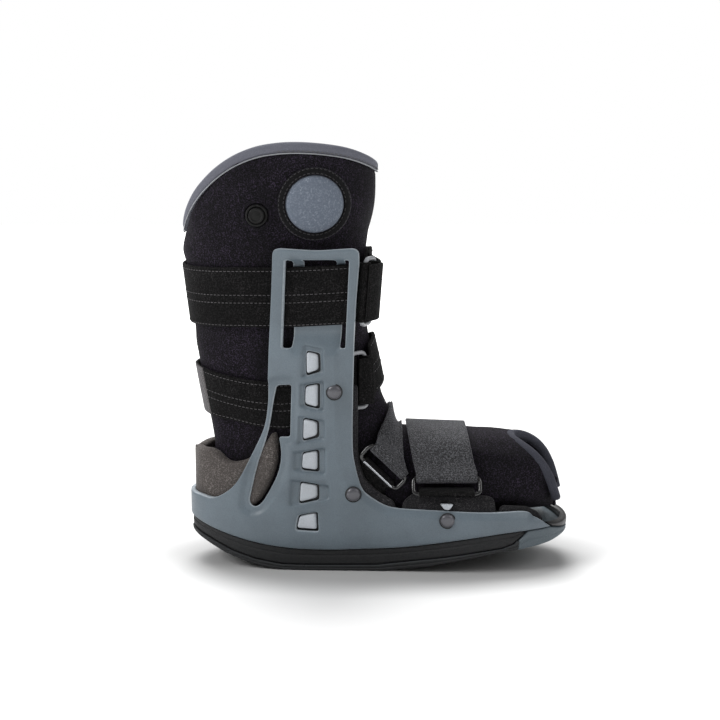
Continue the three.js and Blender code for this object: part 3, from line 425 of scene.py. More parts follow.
# shared surface effects, each a node group placed in several materials
def newGroup(name, inputs):
    # A group with the given inputs; each effect gives a colour, a roughness and a height for the bump
    tree = bpy.data.node_groups.new(name, "ShaderNodeTree")
    for label, kind, value in inputs:
        made = tree.interface.new_socket(name=label, in_out="INPUT", socket_type="NodeSocket" + kind)
        made.default_value = value
    for label, kind in (("Color", "Color"), ("Roughness", "Float"), ("Height", "Float")):
        tree.interface.new_socket(name=label, in_out="OUTPUT", socket_type="NodeSocket" + kind)
    return tree, tree.nodes.new("NodeGroupInput"), tree.nodes.new("NodeGroupOutput")


class Wiring:
    # Short ways to add and join nodes in one tree
    def __init__(self, tree):
        self.tree = tree

    def put(self, socket, value):
        if isinstance(value, bpy.types.NodeSocket):
            self.tree.links.new(value, socket)
        elif value is not None:
            socket.default_value = value

    def math(self, operation, a, b=None, c=None, clamp=False):
        node = self.tree.nodes.new("ShaderNodeMath")
        node.operation, node.use_clamp = operation, clamp
        for socket, value in zip(node.inputs, (a, b, c)):
            self.put(socket, value)
        return node.outputs[0]

    def vector(self, operation, a, b=None):
        node = self.tree.nodes.new("ShaderNodeVectorMath")
        node.operation = operation
        self.put(node.inputs[0], a)
        self.put(node.inputs[1], b)
        return node.outputs["Value" if operation == "LENGTH" else "Vector"]

    def mix(self, factor, a, b, blend="MIX"):
        node = self.tree.nodes.new("ShaderNodeMix")
        node.data_type, node.blend_type = "RGBA", blend
        self.put(node.inputs[0], factor)
        self.put(node.inputs[6], a)
        self.put(node.inputs[7], b)
        return node.outputs[2]

    def shaded(self, colour, factor):
        grey = self.tree.nodes.new("ShaderNodeCombineColor")
        for socket in grey.inputs[:3]:
            self.put(socket, factor)
        return self.mix(1.0, colour, grey.outputs[0], "MULTIPLY")

    def noise(self, where, scale, detail=3.0, roughness=0.6, distortion=0.0):
        node = self.tree.nodes.new("ShaderNodeTexNoise")
        self.put(node.inputs["Vector"], where)
        self.put(node.inputs["Scale"], scale)
        node.inputs["Detail"].default_value = detail
        node.inputs["Roughness"].default_value = roughness
        node.inputs["Distortion"].default_value = distortion
        return node.outputs[0]

    def ranged(self, value, low, high, to0=0.0, to1=1.0, kind="SMOOTHSTEP"):
        node = self.tree.nodes.new("ShaderNodeMapRange")
        node.interpolation_type = kind
        for socket, v in zip(node.inputs, (value, low, high, to0, to1)):
            self.put(socket, v)
        return node.outputs[0]

    def place(self, stretch=(1, 1, 1)):
        where = self.tree.nodes.new("ShaderNodeTexCoord").outputs["Object"]
        if stretch == (1, 1, 1):
            return where
        node = self.tree.nodes.new("ShaderNodeMapping")
        self.put(node.inputs["Vector"], where)
        node.inputs["Scale"].default_value = stretch
        return node.outputs[0]

    def mark(self, name):
        node = self.tree.nodes.new("ShaderNodeAttribute")
        node.attribute_name = name
        return node.outputs["Fac"]


def rgb(r, g, b):
    # Colour from 0 to 255 as the eye sees it, made linear
    c = np.array([r, g, b]) / 255
    return tuple(np.where(c <= 0.04045, c / 12.92, ((c + 0.055) / 1.055) ** 2.4)) + (1.0,)


def makePileGroup():
    # Short brushed pile: fine flecks of a second colour, soft broad patches, and the flecks as height
    tree, a, b = newGroup("brushed pile", [("Base", "Color", (0, 0, 0, 1)), ("Fleck", "Color", (1, 1, 1, 1)),
                                           ("Scale", "Float", 900.0), ("Amount", "Float", 0.5)])
    w = Wiring(tree)
    fine = w.noise(w.place(), a.outputs["Scale"], 2.0, 0.7)
    wide = w.noise(w.place(), 28.0, 3.0, 0.6)
    strands = w.noise(w.place((1, 1, 0.4)), w.math("MULTIPLY", a.outputs["Scale"], 0.45), 2.0, 0.6)
    both = w.math("MULTIPLY", w.ranged(fine, 0.45, 0.68), w.ranged(strands, 0.35, 0.65, 0.4, 1.0))
    factor = w.math("MULTIPLY", w.math("MULTIPLY", both, a.outputs["Amount"]), w.ranged(wide, 0.3, 0.7, 0.55, 1.25),
                    clamp=True)
    w.put(b.inputs["Color"], w.mix(factor, a.outputs["Base"], a.outputs["Fleck"]))
    w.put(b.inputs["Roughness"], w.ranged(fine, 0.3, 0.7, 0.98, 0.82))
    w.put(b.inputs["Height"], w.math("ADD", w.math("MULTIPLY", fine, 0.7), w.math("MULTIPLY", strands, 0.5)))
    return tree


def makeWeaveGroup():
    # Plain weave on the strap's own length and width: each thread is a half sine, over and under in turn, with
    # painted shade where the threads dip
    tree, a, b = newGroup("plain weave", [("Base", "Color", (0, 0, 0, 1)), ("Thread", "Color", (1, 1, 1, 1)),
                                          ("Lengthwise", "Float", 900.0), ("Crosswise", "Float", 1300.0),
                                          ("Heather", "Float", 0.5)])
    w = Wiring(tree)
    uv = tree.nodes.new("ShaderNodeUVMap")
    parts = tree.nodes.new("ShaderNodeSeparateXYZ")
    w.put(parts.inputs[0], uv.outputs[0])
    u = w.math("MULTIPLY", parts.outputs[0], a.outputs["Lengthwise"])
    v = w.math("MULTIPLY", parts.outputs[1], a.outputs["Crosswise"])
    ridge = lambda x: w.math("ABSOLUTE", w.math("SINE", w.math("MULTIPLY", x, math.pi)))
    turn = w.math("MODULO", w.math("ABSOLUTE", w.math("ADD", w.math("FLOOR", u), w.math("FLOOR", v))), 2.0)
    height = w.math("ADD", w.math("MULTIPLY", ridge(u), turn),
                    w.math("MULTIPLY", ridge(v), w.math("SUBTRACT", 1.0, turn)))
    fleck = w.ranged(w.noise(w.place(), 1100.0, 2.0, 0.7), 0.42, 0.66)
    wide = w.noise(w.place(), 40.0, 2.0, 0.5)
    factor = w.math("MULTIPLY", w.math("MULTIPLY", fleck, a.outputs["Heather"]),
                    w.ranged(height, 0.1, 0.9, 0.45, 1.0), clamp=True)
    # darker where the threads dip: painted shade in the weave's hollows, with broad random tone mixed in
    shade = w.ranged(w.math("ADD", w.math("MULTIPLY", height, 0.7), w.math("MULTIPLY", wide, 0.3)), 0.1, 0.9, 0.55,
                     1.15)
    w.put(b.inputs["Color"], w.shaded(w.mix(factor, a.outputs["Base"], a.outputs["Thread"]), shade))
    w.put(b.inputs["Roughness"], w.ranged(height, 0.0, 1.0, 0.95, 0.72))
    w.put(b.inputs["Height"], height)
    return tree


def makeMouldedGroup():
    # Moulded plastic or rubber: fine spark grain, faint broad shading, and light edges where the edge mark is near 1,
    # partly rubbed wear and partly a painted highlight
    tree, a, b = newGroup("moulded skin", [("Base", "Color", (0, 0, 0, 1)), ("Rubbed and lit", "Color", (1, 1, 1, 1)),
                                           ("Grain", "Float", 1500.0), ("Edge width", "Float", 0.6),
                                           ("Edge amount", "Float", 0.0), ("Smoothness", "Float", 0.5)])
    w = Wiring(tree)
    fine = w.noise(w.place(), a.outputs["Grain"], 2.0, 0.6)
    wide = w.noise(w.place(), 22.0, 4.0, 0.6)
    scuff = w.noise(w.place((1, 1, 3)), 160.0, 4.0, 0.65)
    near = w.ranged(w.mark("rubAndHighlight"), w.math("SUBTRACT", 1.0, w.math("DIVIDE", a.outputs["Edge width"], rubAndHighlightReach)), 1.0)
    # lighter at the edges: rubbed wear and a painted highlight, broken up by the scuff noise
    wornAndLit = w.math("MULTIPLY", w.math("MULTIPLY", near, a.outputs["Edge amount"]),
                  w.ranged(scuff, 0.25, 0.6, 0.55, 1.0), clamp=True)
    tone = w.shaded(a.outputs["Base"], w.ranged(wide, 0.3, 0.7, 0.9, 1.1))
    speck = w.shaded(tone, w.ranged(fine, 0.3, 0.75, 1.06, 0.86))
    w.put(b.inputs["Color"], w.mix(wornAndLit, speck, a.outputs["Rubbed and lit"]))
    rough = w.math("ADD", w.ranged(fine, 0.3, 0.7, -0.05, 0.06), w.ranged(scuff, 0.4, 0.7, 0.0, 0.07))
    w.put(b.inputs["Roughness"], w.math("ADD", a.outputs["Smoothness"], rough))
    w.put(b.inputs["Height"], fine)
    return tree


groups = {"pile": makePileGroup(), "weave": makeWeaveGroup(), "moulded": makeMouldedGroup()}


def makeLook(name, group, values, bump, distance, sheen=0.0, sheenTint=(1, 1, 1, 1), metallic=0.0, coat=0.0,
             specular=0.5):
    # One material: a shared effect drives colour, roughness and bump; what is even all over is set on the shader
    look = bpy.data.materials.new(name)
    look.use_nodes = True
    tree = look.node_tree
    shader = tree.nodes["Principled BSDF"]
    effect = tree.nodes.new("ShaderNodeGroup")
    effect.node_tree = groups[group]
    for key, value in values.items():
        effect.inputs[key].default_value = value
    tree.links.new(effect.outputs["Color"], shader.inputs["Base Color"])
    tree.links.new(effect.outputs["Roughness"], shader.inputs["Roughness"])
    relief = tree.nodes.new("ShaderNodeBump")
    relief.inputs["Strength"].default_value = bump
    relief.inputs["Distance"].default_value = distance
    tree.links.new(effect.outputs["Height"], relief.inputs["Height"])
    tree.links.new(relief.outputs["Normal"], shader.inputs["Normal"])
    shader.inputs["Sheen Weight"].default_value = sheen
    shader.inputs["Sheen Roughness"].default_value = 0.4
    shader.inputs["Sheen Tint"].default_value = sheenTint
    shader.inputs["Metallic"].default_value = metallic
    shader.inputs["Coat Weight"].default_value = coat
    shader.inputs["Coat Roughness"].default_value = 0.15
    shader.inputs["Specular IOR Level"].default_value = specular
    return look


def pile(name, base, fleck, amount, scale=900.0, bump=0.6, distance=0.0004, sheen=0.3, tint=(0.8, 0.75, 0.9, 1)):
    return makeLook(name, "pile", {"Base": rgb(*base), "Fleck": rgb(*fleck), "Scale": scale, "Amount": amount},
                    bump, distance, sheen, tint, specular=0.15)


def weave(name, base, thread, heather, lengthwise=900.0, crosswise=1300.0, bump=0.7, distance=0.00025):
    return makeLook(name, "weave", {"Base": rgb(*base), "Thread": rgb(*thread), "Heather": heather,
                                    "Lengthwise": lengthwise, "Crosswise": crosswise},
                    bump, distance, 0.15, (0.8, 0.8, 0.9, 1), specular=0.3)


def moulded(name, base, rubbedAndLit=(200, 208, 214), smoothness=0.45, edge=0.0, width=0.6, grain=1500.0, bump=0.12,
            **more):
    return makeLook(name, "moulded", {"Base": rgb(*base), "Rubbed and lit": rgb(*rubbedAndLit), "Grain": grain, "Edge width": width,
                                      "Edge amount": edge, "Smoothness": smoothness}, bump, 0.0002, **more)


# the second colour of each moulded look lightens its edges: rubbed wear and a painted highlight
looks = {
    "shell": moulded("shell plastic", (86, 97, 105), (180, 188, 194), 0.42, 0.5, 0.9, bump=0.2),
    "insert": moulded("window block plastic", (164, 169, 175), (188, 192, 196), 0.5, 0.4, 0.7),
    "midsole": moulded("midsole foam", (19, 20, 22), (48, 50, 53), 0.72, 0.3, 0.7, grain=900.0, bump=0.45),
    "outsole": moulded("outsole rubber", (19, 21, 23), (52, 57, 62), 0.62, 0.3, 0.8, grain=1100.0, bump=0.3),
    "heelStrip": moulded("heel strip rubber", (22, 24, 26), (58, 62, 66), 0.7, 0.15, 0.8, grain=1100.0, bump=0.3),
    "toeWrap": moulded("toe wrap rubber", (74, 84, 90), (116, 124, 130), 0.55, 0.3, 0.8, grain=1100.0, bump=0.3),
    "guard": moulded("toe guard rubber", (17, 17, 18), (40, 40, 42), 0.36, 0.3, 0.8),
    "foam": pile("heather foam", (19, 19, 21), (116, 113, 115), 0.28, 1500.0, 0.6, 0.0003, 0.1, (0.9, 0.9, 0.9, 1)),
    "collar": pile("heel foam", (66, 62, 60), (170, 162, 158), 0.3, 1000.0, 0.6, 0.0003, 0.1, (0.9, 0.88, 0.86, 1)),
    "bootie": pile("bootie pile", (5, 5, 6), (118, 100, 134), 0.15, 1100.0, 0.9, 0.0004, 0.02, (0.62, 0.55, 0.75, 1)),
    "binding": pile("edge tape", (86, 87, 95), (140, 142, 152), 0.25, 2200.0, 0.35, 0.0002, 0.1, (0.85, 0.88, 1, 1)),
    "toeBinding": pile("toe edge tape", (50, 51, 58), (112, 112, 124), 0.25, 2000.0, 0.35, 0.0002, 0.06,
                       (0.75, 0.75, 0.95, 1)),
    "pump": pile("pump cover", (88, 95, 106), (160, 168, 180), 0.32, 800.0, 0.5, 0.0003, 0.1, (0.8, 0.9, 1, 1)),
    "pumpRing": pile("pump ring", (8, 8, 9), (40, 38, 40), 0.2, 1500.0, 0.6, 0.0004, 0.12),
    "loopStrap": pile("loop strap", (2, 2, 2), (120, 116, 118), 0.09, 1000.0, 1.0, 0.0005, 0.015,
                      (0.7, 0.7, 0.75, 1)),
    "webbing": weave("strap webbing", (30, 30, 32), (132, 133, 138), 0.4),
    "label": weave("woven label", (66, 64, 64), (132, 128, 128), 0.5, 700.0, 700.0),
    "piping": moulded("piping", (124, 126, 130), smoothness=0.7),
    "thread": moulded("stitch thread", (80, 78, 80), smoothness=0.8),
    "darkThread": moulded("dark thread", (48, 47, 49), smoothness=0.85),
    "blackPlastic": moulded("black gloss plastic", (10, 10, 11), (60, 62, 66), 0.22, 0.2, 0.5, bump=0.05, coat=0.4),
    "valve": moulded("valve plastic", (3, 3, 3), (44, 44, 48), 0.6, 0.2, 0.5, bump=0.1, specular=0.25),
    "paleRing": moulded("pale ring plastic", (140, 142, 146), (200, 202, 204), 0.3, 0.3, 0.5, bump=0.08, coat=0.3),
    "rivet": moulded("rivet plastic", (82, 82, 87), (150, 150, 156), 0.32, 0.3, 0.5, bump=0.08, metallic=0.35,
                     coat=0.2),
    "chrome": moulded("bright bar", (150, 152, 156), (220, 222, 226), 0.15, 0.2, 0.4, bump=0.03, metallic=0.9),
    # a dark sheet that paints the shadow in narrow gaps: behind the window blocks and round the rivet heads
    "shadowGap": moulded("painted shadow groove", (20, 22, 25), smoothness=0.6),
}
print("materials ready:", len(looks))


# the moulded shell: side walls, heel and uprights in one wall
toFlat = lambda rows: np.stack([alongPlan(np.array(rows, float)[:, 0]), sz(np.array(rows, float)[:, 1])], -1)
toFlatMm = lambda rows: np.stack([alongPlan(toShare(np.array(rows, float)[:, 0])), np.array(rows, float)[:, 1]], -1)
windows = [
    [[0.29, 0.177], [0.335, 0.188], [0.337, 0.133], [0.283, 0.137]],
    [[0.294, 0.282], [0.337, 0.273], [0.337, 0.232], [0.29, 0.218]],
    [[0.3, 0.375], [0.338, 0.384], [0.338, 0.32], [0.297, 0.326]],
    [[0.303, 0.484], [0.338, 0.474], [0.338, 0.43], [0.301, 0.417]],
    [[0.309, 0.584], [0.341, 0.592], [0.34, 0.518], [0.307, 0.529]],
    [[0.312, 0.69], [0.342, 0.682], [0.343, 0.634], [0.312, 0.621]],
]
shellLook = {
    "recesses": [[(-66.2, 73.2), (-35.8, 68.2), (-36, 57.3), (-68.2, 50.3)],
                 [(-63.7, 95), (-38.8, 98.7), (-38.9, 76.3), (-64.8, 79.4)],
                 [(-60.4, 123.8), (-39.2, 120), (-39.3, 104.5), (-61.4, 99.9)],
                 [(-59, 148), (-39.5, 150.8), (-39.7, 126.4), (-59.6, 130)],
                 [(-57, 178), (-40.6, 175), (-39.7, 156.6), (-57.8, 152)]],
    "recessDepth": 2.2, "recessSlope": 1.7,
    "dishDepth": 2.2, "dishWidth": 8.0, "dishTop": 0.7,
    "crease": [(-32, 186), (-32, 123), (-31, 89.5), (-22.5, 67.8), (-8, 53.5), (6.9, 44.9), (41.6, 43.4),
               (113.5, 42.5)],
    "creaseSlope": 0.34, "creaseReach": 8, "creaseFade": (160, 186),
    "slots": [[[0.2515, 0.7], [0.2742, 0.7], [0.2742, 0.964], [0.2624, 0.964]],
              [[0.3966, 0.7], [0.4115, 0.7], [0.422, 0.964], [0.4092, 0.964]],
              [[0.3014, 0.928], [0.3858, 0.928], [0.3858, 0.964], [0.3014, 0.964]]],
    "edgeRadius": 1.1, "grid": 3.4, "windowRoom": 0.5, "gapWidth": 0.9,
}


def shellOutline():
    # Near half of the shell laid flat: lower edge, front edge, the belt frame's rounded top, and the rear edge
    s = np.linspace(0, 0.945, 150)
    low = toFlat(np.stack([s, lowerLine(s)], -1))
    side = toFlat(catmull(sideEdge, 10))
    front, rear, corner = sideEdge[-1], rearEdge[0], 0.022
    top = toFlat(roundedPolygon([front - [0, 0.02], [front[0] - 0.001, 1.0], [(front[0] + rear[0]) / 2, 0.992],
                                 [rear[0] + 0.001, 1.0], rear - [0, 0.02]], corner, 7)[7:-7])
    back = toFlat(catmull(rearEdge, 10))
    line = spaced(np.concatenate([low, side, top, back]), 1.5)
    line[0, 0] = line[-1, 0] = 0
    heel = np.linspace(line[-1], line[0], int((line[-1, 1] - line[0, 1]) / 2.5))[1:-1]
    return np.concatenate([line, heel])


def shellHoles():
    # Drop-shaped slot, window openings, the frame's two slots and its top opening
    slotRows = np.array([[0.267, 0.425], [0.238, 0.425], [0.243, 0.365], [0.233, 0.306], [0.211, 0.252],
                         [0.189, 0.212], [0.17, 0.2], [0.157, 0.215], [0.164, 0.259], [0.179, 0.331],
                         [0.202, 0.411], [0.214, 0.464], [0.225, 0.538], [0.234, 0.585], [0.272, 0.588]])
    slot = np.concatenate([slotRows[:1], catmull(slotRows[1:14], 5), slotRows[14:]])
    loops = [spaced(roundedPolygon(toFlat(slot), 1.2, 2), 1.6, True)]
    for corners in windows:
        flat = toFlat(corners)
        middle = flat.mean(0)
        way = np.sign(flat - middle)
        room = shellLook["windowRoom"] + np.where(way * [1, -1] > 0, shellLook["gapWidth"], 0)
        loops.append(spaced(roundedPolygon(flat + way * room, 2.0, 5), 1.5, True))
    return loops + [spaced(roundedPolygon(toFlat(rows), 1.2, 4), 1.5, True) for rows in shellLook["slots"]]


def shellRelief(flat):
    # The belt panel sinks behind the strap between the frame's two slots, the windows lie in shallow recesses, the
    # drop-shaped slot is dished round, and the front band falls away beyond its crease
    s, t = planShare(flat[:, 0]), flat[:, 1] / uprightHeight
    rearFoot = shellLook["slots"][0][1]
    frontFoot, _, _, frontHead = shellLook["slots"][1]
    frontSlot = sx(lerp(frontFoot[0], frontHead[0], (t - frontFoot[1]) / (frontHead[1] - frontFoot[1])))
    across = smooth(sx(s), sx(rearFoot[0]) - 0.9, sx(rearFoot[0]) + 0.3)
    across *= 1 - smooth(sx(s), frontSlot - 0.3, frontSlot + 0.9)
    sunk = panelDepth * across * (smooth(t, 0.67, 0.745) - smooth(t, 0.955, 0.968))
    side = np.stack([sx(s), flat[:, 1]], -1)
    for corners in shellLook["recesses"]:
        loop = roundedPolygon(corners, 2.5, 5)
        into = np.where(isInside(side, loop), distanceTo(side, loop), 0)
        sunk += shellLook["recessDepth"] * smooth(into, 0, shellLook["recessSlope"])
    width = shellLook["dishWidth"]
    dish = 1 - smooth(distanceTo(flat, holes[0]), width * 0.45, width)
    sunk += shellLook["dishDepth"] * dish * (t < shellLook["dishTop"])
    line = np.array(shellLook["crease"], float)
    beyond = isInside(side, np.concatenate([line, [(160, 42), (160, 200), (-32, 200)]]))
    fall = shellLook["creaseSlope"] * np.minimum(distanceTo(side, line, False), shellLook["creaseReach"])
    return sunk + np.where(beyond, fall * (1 - smooth(side[:, 1], *shellLook["creaseFade"])), 0)


def offsetLine(line, offset, closed=True):
    # The line moved sideways by an offset, left of its run
    tangent = unit(np.roll(line, -1, 0) - np.roll(line, 1, 0)) if closed else unit(np.gradient(line, axis=0))
    return line + np.stack([-tangent[:, 1], tangent[:, 0]], -1) * offset


holes = shellHoles()
features = []
for corners in shellLook["recesses"]:
    loop = spaced(roundedPolygon(toFlatMm(corners), 2.5, 5), 1.1, True)
    inward = 1 if isInside(offsetLine(loop, 1.0)[:1], loop)[0] else -1
    features += [offsetLine(loop, inward * k) for k in (-0.35, 0.55, 1.1, 1.7)]
outwardSide = -1 if isInside(offsetLine(holes[0], 1.0)[:1], holes[0])[0] else 1
features += [offsetLine(holes[0], outwardSide * shellLook["dishWidth"] * k) for k in (0.4, 0.6, 0.8, 1.05)]
crease = spaced(toFlatMm(catmull(shellLook["crease"], 6)), 1.6)
features += [offsetLine(crease, k, False) for k in (-0.8, 0, 0.8)]
points, faces, marks = plate(shellOutline(), holes, shellLook["grid"], 0, size["shellWall"], shellLook["edgeRadius"],
                             shellRelief, True, features=features)
whole, every, marks = bothSides(points, faces, marks)
shell = makePiece("moulded_shell", whole, every, looks["shell"], "shell", ["shell"], marks=marks)
print("shell:", len(shell.data.polygons), "faces")

# light window blocks, standing in the shell's openings, over a dark backing strip that paints the shadow in the gaps
# round them
blockLook = {"inset": 0.7, "thickness": 3.6, "radius": 1.3, "shrink": 0.35, "shadowBacking": 5.0}


def windowBlocks():
    # One block to each opening, joined into one mesh
    parts = []
    for corners in windows:
        flat = toFlat(corners)
        flat = flat - np.sign(flat - flat.mean(0)) * blockLook["shrink"]
        loop = spaced(roundedPolygon(flat, 2.2, 6), 1.2, True)
        parts.append(plate(loop, [], 2.2, blockLook["inset"], blockLook["thickness"], blockLook["radius"],
                           cuts=(0.45, 1.1)))
    points, faces = joined([(p, f) for p, f, _ in parts])
    return points, faces, {"edge": np.concatenate([m["edge"] for _, _, m in parts])}


points, faces, marks = windowBlocks()
strip = spaced(toFlat([[0.278, 0.105], [0.352, 0.105], [0.352, 0.69], [0.278, 0.69]]), 3, True)
backPoints, backFaces, backMarks = plate(strip, [], 6, blockLook["shadowBacking"] - 0.8, 0.8, 0.4)
blocks, shadowBacking = (points, faces), (backPoints, backFaces)
for tag in ("near", "far"):
    makePiece("window_blocks_" + tag, *blocks, looks["insert"], "insert", ["window_insert_" + tag], marks=marks)
    makePiece("window_shadow_backing_" + tag, *shadowBacking, looks["shadowGap"], "insert", marks=backMarks)
    blocks, shadowBacking = farSide(*blocks), farSide(*shadowBacking)
print("window blocks done")

# foam: liner walls with tabs above the shell's edge, and the heel collar
linerRows = [[0.94, 0.152], [0.922, 0.184], [0.889, 0.204], [0.823, 0.212], [0.815, 0.188], [0.808, 0.188],
             [0.803, 0.232], [0.788, 0.242], [0.584, 0.243], [0.565, 0.224], [0.556, 0.188], [0.544, 0.188],
             [0.54, 0.219], [0.493, 0.252], [0.459, 0.292], [0.446, 0.34], [0.441, 0.392], [0.442, 0.5],
             [0.441, 0.585], [0.365, 0.585], [0.365, 0.11], [0.5, 0.105], [0.7, 0.135], [0.9, 0.15]]
collarRows = [[0.15, 0.19], [0.171, 0.212], [0.197, 0.256], [0.219, 0.32], [0.226, 0.373], [0.223, 0.424],
              [0.2135, 0.432], [0.2, 0.41], [0.165, 0.362], [0.131, 0.339], [0.092, 0.332], [0.048, 0.364],
              [0, 0.358]]
foamLook = {"collarThickness": 6.5, "collarRadius": 3.0, "linerRadius": 1.1}
loop = spaced(roundedPolygon(toFlat(linerRows), 2.2, 4), 2.0, True)
points, faces, marks = plate(loop, [], 5, linerDepth, size["linerWall"], foamLook["linerRadius"], cuts=(0.6, 1.6))
whole, every, marks = bothSides(points, faces, marks)
makePiece("foam_liner", whole, every, looks["foam"], "foam", ["foot_liner"], marks=marks)

line = spaced(toFlat([[0, 0.19]] + collarRows[:1]), 1.8)
line = np.concatenate([line, spaced(toFlat(catmull(collarRows, 8)), 1.8)[1:]])
line[0, 0] = line[-1, 0] = 0
heel = np.linspace(line[-1], line[0], 16)[1:-1]
points, faces, marks = plate(np.concatenate([line, heel]), [], 3.5, linerDepth - 0.2, foamLook["collarThickness"],
                             foamLook["collarRadius"], None, True, cuts=(0.7, 1.6, 2.6))
whole, every, marks = bothSides(points, faces, marks)
collar = makePiece("heel_foam_collar", whole, every, looks["collar"], "foam", ["heel_collar"], marks=marks)
print("foam done")


# soles
midsoleFoot = np.array([[0, 0.1085], [0.007, 0.107], [0.051, 0.086], [0.109, 0.053], [0.164, 0.032], [0.237, 0.018],
                        [0.3, 0.017], [0.493, 0.02], [0.673, 0.05], [0.753, 0.068], [0.823, 0.08], [0.848, 0.091],
                        [0.878, 0.122]])
outsoleFoot = np.array([[0, 0.099], [0.014, 0.089], [0.051, 0.066], [0.089, 0.042], [0.146, 0.018], [0.201, 0.005],
                        [0.248, 0], [0.507, 0], [0.629, 0.018], [0.759, 0.054], [0.807, 0.067], [0.875, 0.073],
                        [0.919, 0.08], [0.947, 0.086], [0.979, 0.096], [1.0, 0.1]])
outsoleHead = np.array([[0.86, 0.1], [0.878, 0.122], [0.885, 0.1305], [0.945, 0.1345], [0.978, 0.122], [1, 0.114]])
soleLook = {"midsoleInset": 1.4, "outsoleInset": 0.4, "corner": 1.6, "lineDepth": 0.7, "lineAt": 0.62,
            "treadDepth": 1.2, "treadPitch": 9.0, "treadEdge": (0.35, 0.75), "treadSpan": 0.72,
            "heelStripEnd": 0.3, "wrapStart": 0.862}


def solePoint(s, z, inset):
    # Point of the near side at share s of the length: x follows the inset, y is the half width less inset and tuck
    inset = inset + soleTuck(z / uprightHeight)
    return sx(s) + inset * (1 - 2 * s), -np.maximum(0.9, shellHalf(s, z / uprightHeight) - inset)


def soleBody(stations, lowRows, highRows, inset, corner, sideCuts=(), across=9, tread=0.0):
    # Closed loft: each station's ring runs up the near side, over, down the far side and back under;
    # the side's corners are quarter rounds, and cuts are fine lines pressed in along the side
    s = stations[:, None]
    v = np.concatenate([np.linspace(0, 0.16, 5), np.linspace(0.22, 0.78, 13), np.linspace(0.84, 1, 5)])[None]
    low, high = lowRows(stations)[:, None], highRows(stations)[:, None]
    z = low + (high - low) * v
    room = np.minimum(z - low, high - z)
    reach = np.clip(1 - room / corner, 0, 1)
    press = corner * (1 - np.sqrt(1 - reach ** 2)) * 0.8
    for where, depth in sideCuts:
        press = press + depth * np.exp(-((z - (low + (high - low) * where)) / 0.45) ** 2)
    x, y = solePoint(s, z, inset + press)
    near = np.stack([x, y, z], -1)
    far = near[:, ::-1] * [1, -1, 1]
    k = np.linspace(0, 1, across + 2)[1:-1][None, :, None]
    over = near[:, -1:] * (1 - k) + far[:, :1] * k
    under = far[:, -1:] * (1 - k) + near[:, :1] * k
    wave = np.cos(2 * np.pi * under[..., 0] / soleLook["treadPitch"])
    inner = np.abs(2 * k[..., 0] - 1) < soleLook["treadSpan"]
    under[..., 2] += tread * smooth(wave, *soleLook["treadEdge"]) * inner
    ring = np.concatenate([near, over, far, under], 1)
    points = ring.reshape(-1, 3)
    level = np.full(over.shape[:2], 9.0)
    edge = np.concatenate([room + 0 * z, level, room[:, ::-1], level], 1)
    return points, tubeFaces(points, *ring.shape[:2]), {"edge": edge.ravel()}


straight = lambda rows: (lambda s: np.interp(s, rows[:, 0], rows[:, 1]) * uprightHeight)
under = straight(midsoleFoot)
stations = np.clip(0.44 - 0.439 * np.cos(np.linspace(0, 1, 150) * np.pi), 0.0005, 0.877)
midsoleTop = lambda s: np.maximum(lowerLine(s) * uprightHeight - gap, under(s) + 0.8)
points, faces, marks = soleBody(stations, under, midsoleTop, soleLook["midsoleInset"], soleLook["corner"],
                                [(soleLook["lineAt"], soleLook["lineDepth"])])
makePiece("midsole_body", points, faces, looks["midsole"], "midsole", ["midsole"], marks=marks)
# the outsole reaches up to the midsole's foot, and past the midsole's end up to the toe guard
outsoleTop = lambda s: np.where(s < outsoleHead[0, 0], under(s), straight(outsoleHead)(s)) - gap
soleParts = [("outsole_heel", 0.0008, soleLook["heelStripEnd"], np.linspace(0, 1, 150) ** 1.6, "heelStrip"),
             ("outsole_middle", soleLook["heelStripEnd"], soleLook["wrapStart"], np.linspace(0, 1, 160), "outsole"),
             ("outsole_toe_wrap", soleLook["wrapStart"], 0.9995, 1 - (1 - np.linspace(0, 1, 90)) ** 1.8, "toeWrap")]
for name, first, last, steps, look in soleParts:
    points, faces, marks = soleBody(first + (last - first) * steps, straight(outsoleFoot), outsoleTop,
                                    soleLook["outsoleInset"], 1.1, [(0.5, 0.35)], 25, soleLook["treadDepth"])
    makePiece(name, points, faces, looks[look], "outsole", ["outsole"], marks=marks)

# toe guard: a black band round the toe between the wrap and the shell's rim
guardLook = {"start": 0.946, "length": 0.0538, "half": 2.5, "inset": 0.4}
guardS = guardLook["start"] + guardLook["length"] * (1 - (1 - np.linspace(0, 1, 40)) ** 2)
guardSection = ovalProfile(guardLook["half"], 0.5, 20, 0, 4.0)
lowZ = np.interp(guardS, [0.945, 0.978, 1.0], [0.1375, 0.1225, 0.1145]) * uprightHeight + 0.2
highZ = np.interp(guardS, [0.945, 0.97, 1.0], [0.146, 0.143, 0.1405]) * uprightHeight
ringZ = lowZ[:, None] + (highZ - lowZ)[:, None] * (guardSection[None, :, 1] + 0.5)
x, y = solePoint(guardS[:, None], ringZ, guardLook["inset"] + guardLook["half"] + guardSection[None, :, 0])
near = np.stack([x, y, ringZ], -1)
ring = np.concatenate([near, near[::-1] * [1, -1, 1]])
points = ring.reshape(-1, 3)
makePiece("toe_guard_band", points, tubeFaces(points, *ring.shape[:2]), looks["guard"], "guard", ["toe_guard"])
print("soles done")


